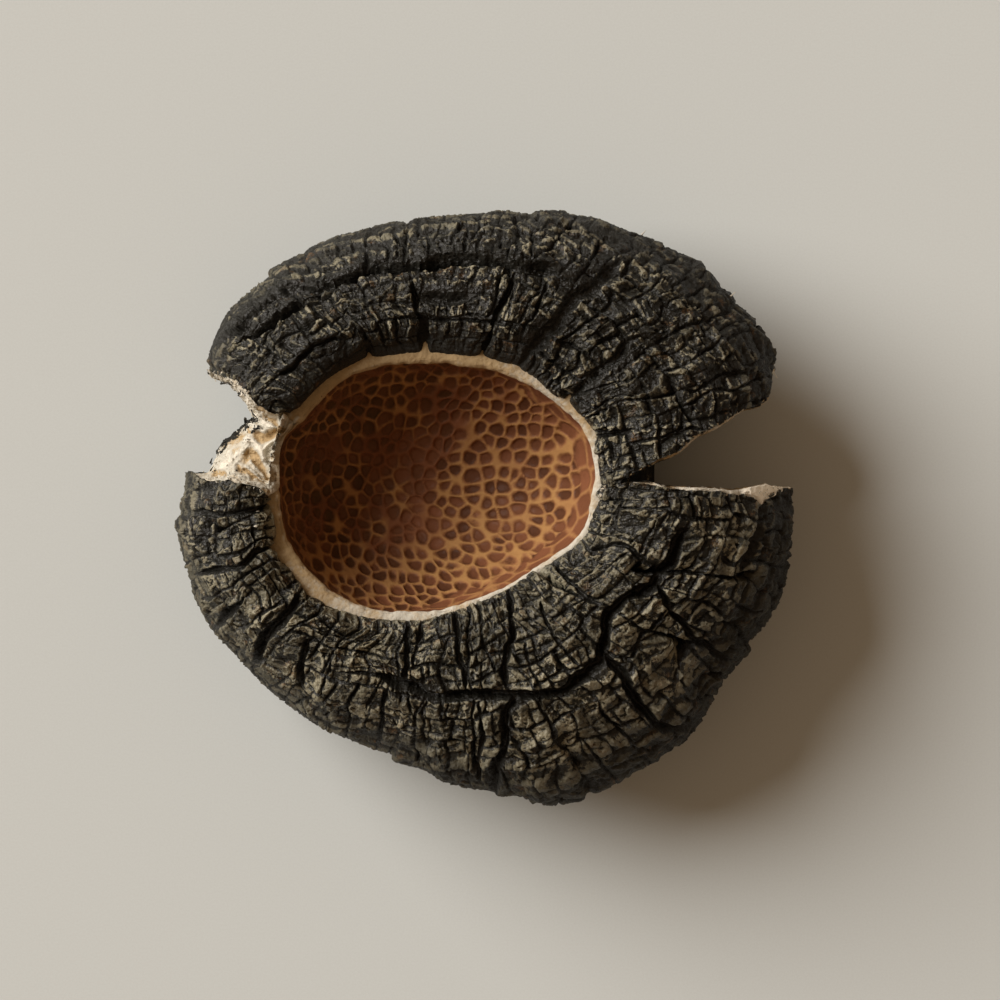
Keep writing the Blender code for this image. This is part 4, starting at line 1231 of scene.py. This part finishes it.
class CHAGA_OT_hollow(ConkOperator, bpy.types.Operator):
    """The deep oval hollow, with its net of cells"""

    bl_idname = "chaga.hollow"
    bl_label = "Hollow"

    def execute(self, context):
        settings = context.scene.chaga_shape
        angles = np.linspace(0, 2 * np.pi, HOLLOW_COLUMNS, endpoint=False)
        heading = np.stack((np.cos(angles), np.sin(angles)), axis=-1)
        inward = np.sin(np.linspace(0, np.pi / 2, HOLLOW_ROWS))[:, None]
        lip = reach(HOLLOW_EDGE, angles)
        plan = HOLLOW_CENTRE + HOLLOW_DRIFT * (1 - inward[..., None] ** 2)
        plan = plan + heading * (inward * lip)[..., None]
        height = RIM_HEIGHT - (RIM_HEIGHT - HOLLOW_FLOOR) * (1 - inward**2.6) ** 0.62 * np.ones(len(angles))
        surface = np.dstack((plan, height))
        outward = outward_of(surface)[0]
        outward[0] = (0, 0, 1)
        out = np.cumsum(np.linalg.norm(np.diff(surface, axis=0, prepend=surface[:1]), axis=-1), axis=0)
        reached = 0.75 * inward * lip + 0.25 * out
        size = settings.cell / MM
        at_rim, right, gap, number, border = self.net(surface, angles, heading, reached, size)
        pit = settings.pit / MM * np.clip(1.15 - (gap / (0.58 * size)) ** 2, 0, 1) * (1 - 0.6 * at_rim)
        offset = -pit * np.clip((1 - inward) * 12, 0.15, 1) + 0.12 * grain(surface, 1.6, 85)
        surface += outward * offset[..., None]
        surface -= (*MIDDLE, 0)
        x, y = plan[..., 0], plan[..., 1]
        dim, middle = self.dimness(x, y, surface)
        dim = dim + at_rim * (0.45 - 0.2 * right - dim)
        shade = np.clip(((y - 6) * 0.4 - (x + 12) * 0.75) / 38 + 0.12 * grain(surface, 9, 88), 0, 1)
        layers = {"net": border, "cell": number - 0.5 * middle, "dim": dim, "shade": shade}
        finish_piece(sheet_of("netted_hollow", surface, hollow_finish(), layers, True), "hollow")
        return {"FINISHED"}

    def net(self, surface, angles, heading, reached, size):
        """Where the rim and the right side are, and each place's way to its cell, number and border."""
        stray = np.stack([0.9 * grain(surface, 6, seed) for seed in (81, 82)], axis=-1)
        corner, _, gap, border = cells(heading * reached[..., None] + stray, size, 84, 0.75)
        number = scatter(corner, 86)
        border = softly_least(border, 1.15 * (0.7 * size - gap), 0.35) - 0.7 * scatter(corner, 91) + 0.2

        from_rim = reached[-1] - reached
        cosine, sine = heading.T
        right_band = 8 * np.clip(0.3 + cosine - 0.4 * sine, 0, 1)
        left_band = 6 * np.clip(-1.3 * cosine - 0.35, 0, 1)
        band = np.maximum(right_band, left_band) - from_rim - 1.6 * grain(surface, 5, 83)
        at_rim = np.clip(band / 1.5, 0, 1)
        round_rim = 24 * (0.75 * np.mod(angles - 2.4, 2 * np.pi) + 0.35 * np.sin(angles))
        scales = np.dstack(np.broadcast_arrays(round_rim, from_rim * (1.35 - 0.45 * cosine)))
        corner, _, rim_gap, rim_border = cells(scales, size, 89, 0.85)
        rim_border = softly_least(rim_border, 1.15 * (0.85 * size - rim_gap), 0.3) - 0.25

        right = np.clip(0.5 + 2 * cosine, 0, 1)
        number = number + at_rim * (0.5 * scatter(corner, 90) - 0.25 * right - number)
        border = border + at_rim * (rim_border + 0.3 - border)
        return at_rim, right, gap + at_rim * (rim_gap - gap), number, border

    def dimness(self, x, y, surface):
        """How far the net fades into the brown, and how near the middle of the floor each place is."""
        # The net fades most on the upper-left wall, partly as painted shade.
        side = np.clip((-x - 10 + 0.6 * (y + 4)) / 20, 0, 1) * np.clip((y + 20) / 12, 0, 1)
        middle = np.exp(-(((x + 24) / 12) ** 2 + ((y - 8) / 16) ** 2))
        clouds = grain(surface, 7, 87)
        return np.clip(0.6 * side + 0.35 * middle + 1.1 * clouds * (0.3 + side), 0, 0.95), middle


class CHAGA_OT_ring(ConkOperator, bpy.types.Operator):
    """The pale ring between the crust and the hollow"""

    bl_idname = "chaga.ring"
    bl_label = "Ring"

    def execute(self, context):
        angles = np.linspace(0, 2 * np.pi, RING_COLUMNS, endpoint=False)
        heading = np.stack((np.cos(angles), np.sin(angles)), axis=-1)
        inner, outer = reach(HOLLOW_EDGE, angles), reach(RING_EDGE, angles)
        x, y = (HOLLOW_CENTRE + heading * outer[:, None]).T
        at_bite = window(y, 5, 30, 3, 3) * (x < -50)
        outer = outer + 2.5 * (1 - at_bite)
        across, rise = np.array(RING_PROFILE).T[..., None]
        arm = inner - 0.5 + across * (outer - inner + 0.5)
        height = RIM_HEIGHT + rise * (1 - 0.8 * at_bite)
        surface = np.dstack((HOLLOW_CENTRE + heading * arm[..., None], height))
        fibre = surface * (0.5, 0.5, 1)
        surface[..., 2] += 0.22 * grain(surface, 2.4, 91) + 0.14 * grain(fibre, 0.5, 92)
        arm_noise = (0.35 * grain(surface, 2.0, 93) * (across < 0.6))[..., None]
        surface[..., :2] += heading * arm_noise
        surface[..., 2] -= at_bite * (1.7 + 5 * np.clip(across, 0, 1))
        # Painted shade: the ring is coloured tan on its upper left, where it lies in shade, and cream towards
        # the lower right.
        tone = 0.55 - 0.4 * heading[:, 0] + 0.45 * heading[:, 1] + 0.5 * grain(surface, 7, 94)
        folds = traced(surface[..., :2], FOLDS)
        surface[..., 2] += 0.5 * folds
        # Painted light: paler on the folds' crests, and paler at the bite to offset its slope away from the
        # light.
        tone = np.clip(tone - 1.2 * folds + 0.3 * ridged(fibre, 0.6, 95) - 0.5 * at_bite, 0, 1.1)
        surface -= (*MIDDLE, 0)
        layers = {"tone": tone, "black": tone * 0}
        finish_piece(sheet_of("pale_ring", surface, flesh_finish(), layers, True), "flesh")
        return {"FINISHED"}


class CHAGA_OT_bite(ConkOperator, bpy.types.Operator):
    """The torn face of the bite"""

    bl_idname = "chaga.bite"
    bl_label = "Torn bite"

    def execute(self, context):
        lines = smooth(TORN_LINES, 24, closed=False)
        lines = np.concatenate((lines[:, :1] + (0.4, 0, -1.4), lines), axis=1)
        shares = np.linspace(0, 1, TORN_ROWS) ** 1.35
        surface = np.stack([resample(smooth(line, closed=False), shares) for line in lines], axis=1)
        outward = np.cross(np.gradient(surface, axis=0), np.gradient(surface, axis=1))
        outward /= np.linalg.norm(outward, axis=-1, keepdims=True) + 1e-9
        outward *= 1 if outward[:, surface.shape[1] // 2, 0].mean() < 0 else -1
        along = np.linspace(0, len(TORN_LINES) - 1, surface.shape[1])
        down = shares[:, None]
        seen = surface[..., :2] + np.stack([0.5 * grain(surface, 1.8, seed) for seed in (106, 107)], axis=-1)
        folds, dips, crust = (traced(seen, lines) for lines in (FOLDS, DIPS, REMNANTS))
        shreds = np.dstack((along * 1.6 * np.ones_like(down), down * 3 * np.ones_like(along)))
        rough = 0.35 * ridged(shreds, 0.8, 101) + 0.25 * ridged(surface, 2.2, 102)
        rough += 0.2 * ridged(surface, 0.9, 103)
        rough += 0.3 * grain(surface, 4.5, 104)
        rough *= 0.1 + 1.2 * np.clip(down * 8, 0, 1)
        hold = np.clip(np.minimum(down * 24, (1 - down) * 14), 0.05, 1)
        surface = surface + outward * ((rough + crust) * hold)[..., None]
        surface[..., 2] += (folds - dips + 0.8 * crust * grain(surface, 1.1, 109)) * hold
        surface = self.under_crust(surface)
        black = crust + 0.35 * grain(surface, 0.9, 108)
        # Painted light and shade: tan in the dips, paler on the folds and on what stands up.
        tone = 0.2 + 0.8 * dips - 0.6 * folds - 0.4 * (rough - blurred(rough, 5))
        tone += 0.3 * grain(surface, 4, 105)
        # Painted shade: tan along the first rows, the inner face by the hollow.
        tone = np.clip(tone + 0.5 * np.clip(1 - down / 0.09, 0, 1), -0.3, 1.1)
        layers = {"tone": tone, "black": black}
        finish_piece(sheet_of("torn_flesh", surface, flesh_finish(), layers), "flesh")
        return {"FINISHED"}

    def under_crust(self, surface):
        """Keeps the torn face between the crust's top and its underside, where it runs in under them."""
        for row, column in np.ndindex(*surface.shape[:2]):
            x, y, z = surface[row, column]
            heights = crust_heights(x, y)
            if heights is None:
                continue
            covered = not inside_of(np.array(BITE_EDGE), np.array(x), np.array(y))
            if covered and z > heights[0] - 0.5:
                surface[row, column, 2] = heights[0] - 0.5
            if z < heights[1] + 0.3:
                surface[row, column, 2] = heights[1] + 0.3
        return surface


class CHAGA_OT_split(ConkOperator, bpy.types.Operator):
    """The two walls of the wedge-shaped split and the slope of its floor"""

    bl_idname = "chaga.split"
    bl_label = "Split"

    def execute(self, context):
        upper, lower = np.array(SPLIT_EDGE[:SPLIT_APEX + 1])[::-1], np.array(SPLIT_EDGE[SPLIT_APEX:])
        shown = window(upper[:, 0], *WALL_SHOWN)
        self.wall("split_upper_wall", upper, upper - np.stack((0 * shown, 0.4 + 0.45 * shown), axis=-1), 1)
        self.wall("split_lower_wall", lower, np.array(LOWER_FACE), -1)
        x, y = np.meshgrid(np.linspace(40, SPLIT_STEPS[-1][0], 60), np.linspace(3, 20, 60))
        z = np.interp(x, *zip(*SPLIT_STEPS))
        surface = np.dstack((x, y, z))
        surface[..., 2] += 0.8 * grain(surface, 3, 111) * (z > 3)
        layers = {"tone": 0.8 * np.ones_like(x), "black": np.clip(0.9 + 0.3 * grain(surface, 5, 112), 0, 1)}
        finish_piece(sheet_of("split_floor", surface, flesh_finish(), layers), "flesh")
        return {"FINISHED"}

    def wall_grid(self, edge, face, side):
        """A wall's columns at even places along +X, each from under the crust over the lip and down."""
        along, tops, bottoms = [], [], []
        for x in np.arange(*WALL_PLACES):
            heights = crust_heights(x - MIDDLE[0], np.interp(x, *edge.T) + 0.5 * side)
            if heights is None:
                break
            along.append(x)
            tops.append(heights[0])
            bottoms.append(max(heights[1], float(np.interp(x, *zip(*SPLIT_STEPS)))))
        tops = blurred(np.array(tops)[:, None], 4)[:, 0]
        columns = []
        for x, top_z, floor in zip(along, tops, bottoms):
            edge_y, face_y = np.interp(x, *edge.T), np.interp(x, *face.T)
            slope = 0.5 + 0.3 * abs(face_y - edge_y)
            tucked = [(x, edge_y + 0.8 * side, top_z - 0.9), (x, edge_y, top_z - 0.7)]
            lip = [(x, edge_y + (face_y - edge_y) * share, top_z - 0.7 - slope * share**2)
                   for share in np.linspace(0.08, 1, LIP_ROWS)]
            foot = np.linspace(lip[-1][2], floor + 0.3, FACE_ROWS)[1:]
            columns.append(tucked + lip + [(x, face_y, z) for z in foot])
        return np.array(columns).transpose(1, 0, 2)

    def wall(self, name, edge, face, side):
        """A wall with its roughness and colours. The side is 1 for the upper wall and -1 for the lower."""
        surface = self.wall_grid(edge, face, side)
        down = np.arange(len(surface))[:, None]
        lips = down < TUCKED_ROWS + LIP_ROWS
        rough = 0.35 * grain(surface * (1, 1, 0.3), 1.4, 113) + 0.4 * grain(surface, 4, 114)
        rough += 0.15 * grain(surface, 0.7, 115)
        surface[..., 1] += rough * np.clip((down - 10) / 8, 0.1, 1) * (0.6 if side > 0 else -1)
        surface[..., 2] += (0.2 * ridged(surface, 1.5, 116) + 0.12 * ridged(surface, 0.7, 118)) * lips
        patch = window(surface[..., 0], *WALL_PATCH) * (side < 0)
        surface[..., 2] += 1.5 * patch * window(down, 1, 18, 4, 4)
        surface -= (*MIDDLE, 0)

        x = surface[..., 0]
        steep = np.clip((down - 14) / 4, 0, 1)
        tone = 0.1 + 0.35 * (x < 62) + 0.6 * steep
        tone += 0.3 * grain(surface, 3, 117)
        tone += 0.2 * ridged(surface, 0.8, 119)
        # Painted light: the pale patch on the lower wall's lip is coloured palest cream, brighter than its
        # shade.
        tone -= 1.4 * patch * lips + 0.25 * lips * (x > 62)
        black = np.clip((61 - x) / 4, 0, 1) * steep
        if side > 0:
            tone += 0.6
            shown = window(x, *WALL_SHOWN) * lips
            black = np.maximum(black, np.clip(0.45 - 0.4 * shown + 0.9 * grain(surface, 2.6, 120), 0, 1))
        way = slice(None, None, -side)
        layers = {"tone": np.clip(tone, -0.8, 1.2)[:, way], "black": black[:, way]}
        finish_piece(sheet_of(name, surface[:, way], flesh_finish(), layers), "flesh")


class CHAGA_OT_crumbs(ConkOperator, bpy.types.Operator):
    """The crumbs and splinters along the torn edges, pale ones and black ones"""

    bl_idname = "chaga.crumbs"
    bl_label = "Crumbs"

    finishes = {"flesh": ("pale_crumbs", flesh_finish), "crust": ("black_crumbs", crust_finish)}

    def execute(self, context):
        depsgraph = context.evaluated_depsgraph_get()
        carriers = [each for each in context.scene.objects if each.name in CRUMB_CARRIERS]
        trees = [BVHTree.FromObject(each, depsgraph) for each in carriers]
        ball = self.template(bpy.ops.mesh.primitive_ico_sphere_add, subdivisions=2, radius=0.5)
        cone = bpy.ops.mesh.primitive_cone_add
        spike = self.template(cone, vertices=5, radius1=0.16, radius2=0.03, depth=1)
        for slot, (name, finish) in self.finishes.items():
            draw = np.random.default_rng(len(name))
            lumps_of = [entry[1:] for entry in CRUMBS if entry[0] == slot]
            parts = [part for entry in lumps_of for part in self.crumbs(entry, ball, trees, draw)]
            parts += [self.splinter(line, spike, draw) for kind, line in SPLINTERS if kind == slot]
            finish_piece(self.joined(name, parts, finish(), draw), slot)
        return {"FINISHED"}

    def template(self, add, **settings):
        """The points and faces of a small shape to copy, in millimetres round the middle."""
        deselect()
        add(**settings)
        shape = bpy.context.object
        points = np.array([vertex.co[:] for vertex in shape.data.vertices])
        faces = [tuple(face.vertices) for face in shape.data.polygons]
        bpy.data.objects.remove(shape)
        return points, faces

    def crumbs(self, entry, ball, trees, draw):
        """So many crumbs along a line, each its own size and turn, lying on what is under it."""
        count, size, stray, line = entry
        for _ in range(count):
            x, y, z = resample(np.array(line, float), draw.uniform()) + (*draw.normal(0, stray, 2), 0)
            x, y = x - MIDDLE[0], y - MIDDLE[1]
            above = Vector((x * MM, y * MM, SKY * MM))
            hits = [tree.ray_cast(above, Vector((0, 0, -1)))[0] for tree in trees]
            tops = [hit.z / MM for hit in hits if hit is not None and hit.z / MM > CRUMBS_ABOVE]
            stretch = size * draw.uniform(0.5, 1.2) * draw.uniform((0.7, 0.4, 0.3), (1.5, 0.8, 0.6))
            turned = np.array(Euler(draw.uniform(-0.6, 0.6, 2).tolist() + [draw.uniform(0, 6.3)]).to_matrix())
            points = ball[0] + 0.06 * draw.normal(size=ball[0].shape)
            yield (points * stretch) @ turned.T + (x, y, (max(tops) if tops else z) + 0.15 * size), ball[1]

    def splinter(self, line, spike, draw):
        """A splinter from one place to another, a little crooked."""
        start, end = np.array(line) - (*MIDDLE, 0)
        along = Vector(end - start)
        turned = np.array(along.to_track_quat("Z", "Y").to_matrix())
        points = spike[0] * (1.8, 1.8, along.length) + 0.05 * draw.normal(size=spike[0].shape)
        return points @ turned.T + (start + end) / 2, spike[1]

    def joined(self, name, parts, finish, draw):
        """One piece from many small ones, each with its own tone."""
        firsts = np.cumsum([0] + [len(points) for points, _ in parts])
        faces = [tuple(first + corner for corner in face)
                 for first, (_, some) in zip(firsts, parts) for face in some]
        mesh = bpy.data.meshes.new(name)
        mesh.from_pydata((np.concatenate([points for points, _ in parts]) * MM).tolist(), [], faces)
        tones = np.concatenate([np.full(len(points), draw.uniform(0, 0.4)) for points, _ in parts])
        for key, share in (("tone", 1.0), ("tint", 1.0), ("raised", 0.3), ("worn_and_lit", 1.0), ("apart", FAR)):
            values = mesh.attributes.new(key, "FLOAT", "POINT").data
            values.foreach_set("value", (share * tones).astype(np.float32))
        mesh.materials.append(finish)
        mesh.update()
        piece = bpy.data.objects.new(name, mesh)
        bpy.context.collection.objects.link(piece)
        return piece


class CHAGA_OT_stage(ConkOperator, bpy.types.Operator):
    """The pale floor, the soft light from the upper left and the camera straight above"""

    bl_idname = "chaga.stage"
    bl_label = "Stage"

    def execute(self, context):
        scene = context.scene
        light = scene.chaga_light
        deselect()
        bpy.ops.mesh.primitive_plane_add(size=FLOOR_WIDTH)
        floor = context.object
        floor.name = "floor"
        floor.data.materials.append(floor_finish())
        self.soft_key(light)
        world = scene.world or bpy.data.worlds.new("studio")
        scene.world = world
        world.use_nodes = True
        background = world.node_tree.nodes["Background"]
        background.inputs["Color"].default_value = (*light.fill_colour, 1)
        background.inputs["Strength"].default_value = light.fill
        self.camera(scene)
        return {"FINISHED"}

    def soft_key(self, light):
        deselect()
        level = math.cos(light.elevation)
        x, y = math.cos(light.azimuth) * level, math.sin(light.azimuth) * level
        place = Vector((x, y, math.sin(light.elevation))) * LIGHT_DISTANCE
        bpy.ops.object.light_add(type="AREA", location=place)
        key = bpy.context.object
        key.name = "soft key"
        key.rotation_euler = place.to_track_quat("Z", "Y").to_euler()
        key.data.shape = "DISK"
        key.data.size = light.size
        key.data.energy = light.key
        key.data.color = light.key_colour

    def camera(self, scene):
        deselect()
        bpy.ops.object.camera_add(location=CAMERA_PLACE, rotation=(0, 0, 0))
        camera = bpy.context.object
        camera.data.lens = LENS
        camera.data.sensor_width = SENSOR
        camera.data.clip_end = 50
        scene.camera = camera
        scene.view_settings.view_transform = "Standard"


def length(name, description, default):
    return FloatProperty(name=name, description=description, default=default, unit="LENGTH")


def angle(name, description, degrees):
    return FloatProperty(name=name, description=description, default=math.radians(degrees), subtype="ANGLE")


def colour(name, description, default):
    return FloatVectorProperty(
        name=name, description=description, default=default, size=3, min=0, max=1, subtype="COLOR"
    )


class ChagaShape(bpy.types.PropertyGroup):
    """The sizes that can be changed"""

    relief: FloatProperty(
        name="Relief", description="How strongly the blocks' faces are crumpled", default=1.0, min=0, max=3
    )
    block: length("Block", "How large the blocks are that part with deep checks", 0.013)
    chip: length("Chip", "How large the smallest blocks are", 0.0062)
    cell: length("Cell", "How far apart the hollow's cells are", 0.0044)
    pit: length("Pit", "How deep the hollow's cells are", 0.0006)


class ChagaColours(bpy.types.PropertyGroup):
    """The colours that can be changed"""

    crust: colour("Crust", "The charred blocks of the crust", (0.0185, 0.0176, 0.0118))
    # Also the painted highlight on the crust's rims and lit parts.
    dust_and_highlight: colour("Dust", "The pale dust on the blocks", (0.255, 0.229, 0.153))
    # The pit colour also paints the shade on the risers.
    pit: colour("Pit", "The crust's cracks and pits", (0.0125, 0.0115, 0.0083))
    rust: colour("Rust", "The rusty flecks in the crust", (0.11, 0.058, 0.02))
    # Also the painted light on the flesh's crests and on the split's pale patch.
    fresh_and_lit: colour("Fresh", "The palest flesh", (0.9, 0.82, 0.68))
    flesh: colour("Flesh", "Freshly torn flesh", (0.52, 0.49, 0.41))
    # Also the painted shade on the flesh.
    tan: colour("Tan", "Older flesh", (0.4, 0.285, 0.15))
    ochre: colour("Ochre", "The flesh's stains", (0.28, 0.208, 0.108))
    cell: colour("Cell", "The hollow's cells", (0.074, 0.03, 0.015))
    umber: colour("Umber", "The hollow's cells on its left wall", (0.072, 0.042, 0.0175))
    red: colour("Red", "The hollow between its cells and its net", (0.21, 0.082, 0.039))
    net: colour("Net", "The net between the cells", (0.385, 0.207, 0.076))
    floor: colour("Floor", "The floor", (0.592, 0.625, 0.612))
    shadow: colour("Shadow", "The floor's grain", (0.3, 0.28, 0.25))


class ChagaLight(bpy.types.PropertyGroup):
    """The light that can be changed"""

    azimuth: angle("Azimuth", "Where the light comes from, from +X towards +Y", 151)
    elevation: angle("Elevation", "How high the light stands", 31)
    size: length("Size", "How wide the light is", 10.2)
    key: FloatProperty(name="Key", description="How strong the light is", default=2460, min=0)
    fill: FloatProperty(name="Fill", description="How bright the room round it is", default=0.235, min=0)
    key_colour: colour("Key Colour", "The light's colour", (1.0, 0.954, 0.913))
    fill_colour: colour("Fill Colour", "The room's colour", (1.0, 0.68, 0.43))


class CHAGA_PT_panel(bpy.types.Panel):
    """The pieces of the conk, with their sizes, colours and light"""

    bl_label = "Chaga Conk"
    bl_idname = "CHAGA_PT_panel"
    bl_space_type = "VIEW_3D"
    bl_region_type = "UI"
    bl_category = "Chaga"

    def draw(self, context):
        for operator in OPERATORS:
            self.layout.operator(operator.bl_idname)
        for group in (context.scene.chaga_shape, context.scene.chaga_colours, context.scene.chaga_light):
            box = self.layout.box()
            for name in group.__annotations__:
                box.prop(group, name)


OPERATORS = (
    CHAGA_OT_crust, CHAGA_OT_foot, CHAGA_OT_hollow, CHAGA_OT_ring, CHAGA_OT_bite, CHAGA_OT_split,
    CHAGA_OT_crumbs, CHAGA_OT_stage,
)
GROUPS = {"chaga_shape": ChagaShape, "chaga_colours": ChagaColours, "chaga_light": ChagaLight}


def register():
    for each in (*GROUPS.values(), *OPERATORS, CHAGA_PT_panel):
        bpy.utils.register_class(each)
    for name, group in GROUPS.items():
        setattr(bpy.types.Scene, name, PointerProperty(type=group))


def unregister():
    for name in GROUPS:
        delattr(bpy.types.Scene, name)
    for each in reversed((*GROUPS.values(), *OPERATORS, CHAGA_PT_panel)):
        bpy.utils.unregister_class(each)


def main():
    register()
    for operator in OPERATORS:
        family, name = operator.bl_idname.split(".")
        getattr(getattr(bpy.ops, family), name)()


if __name__ == "__main__":
    main()
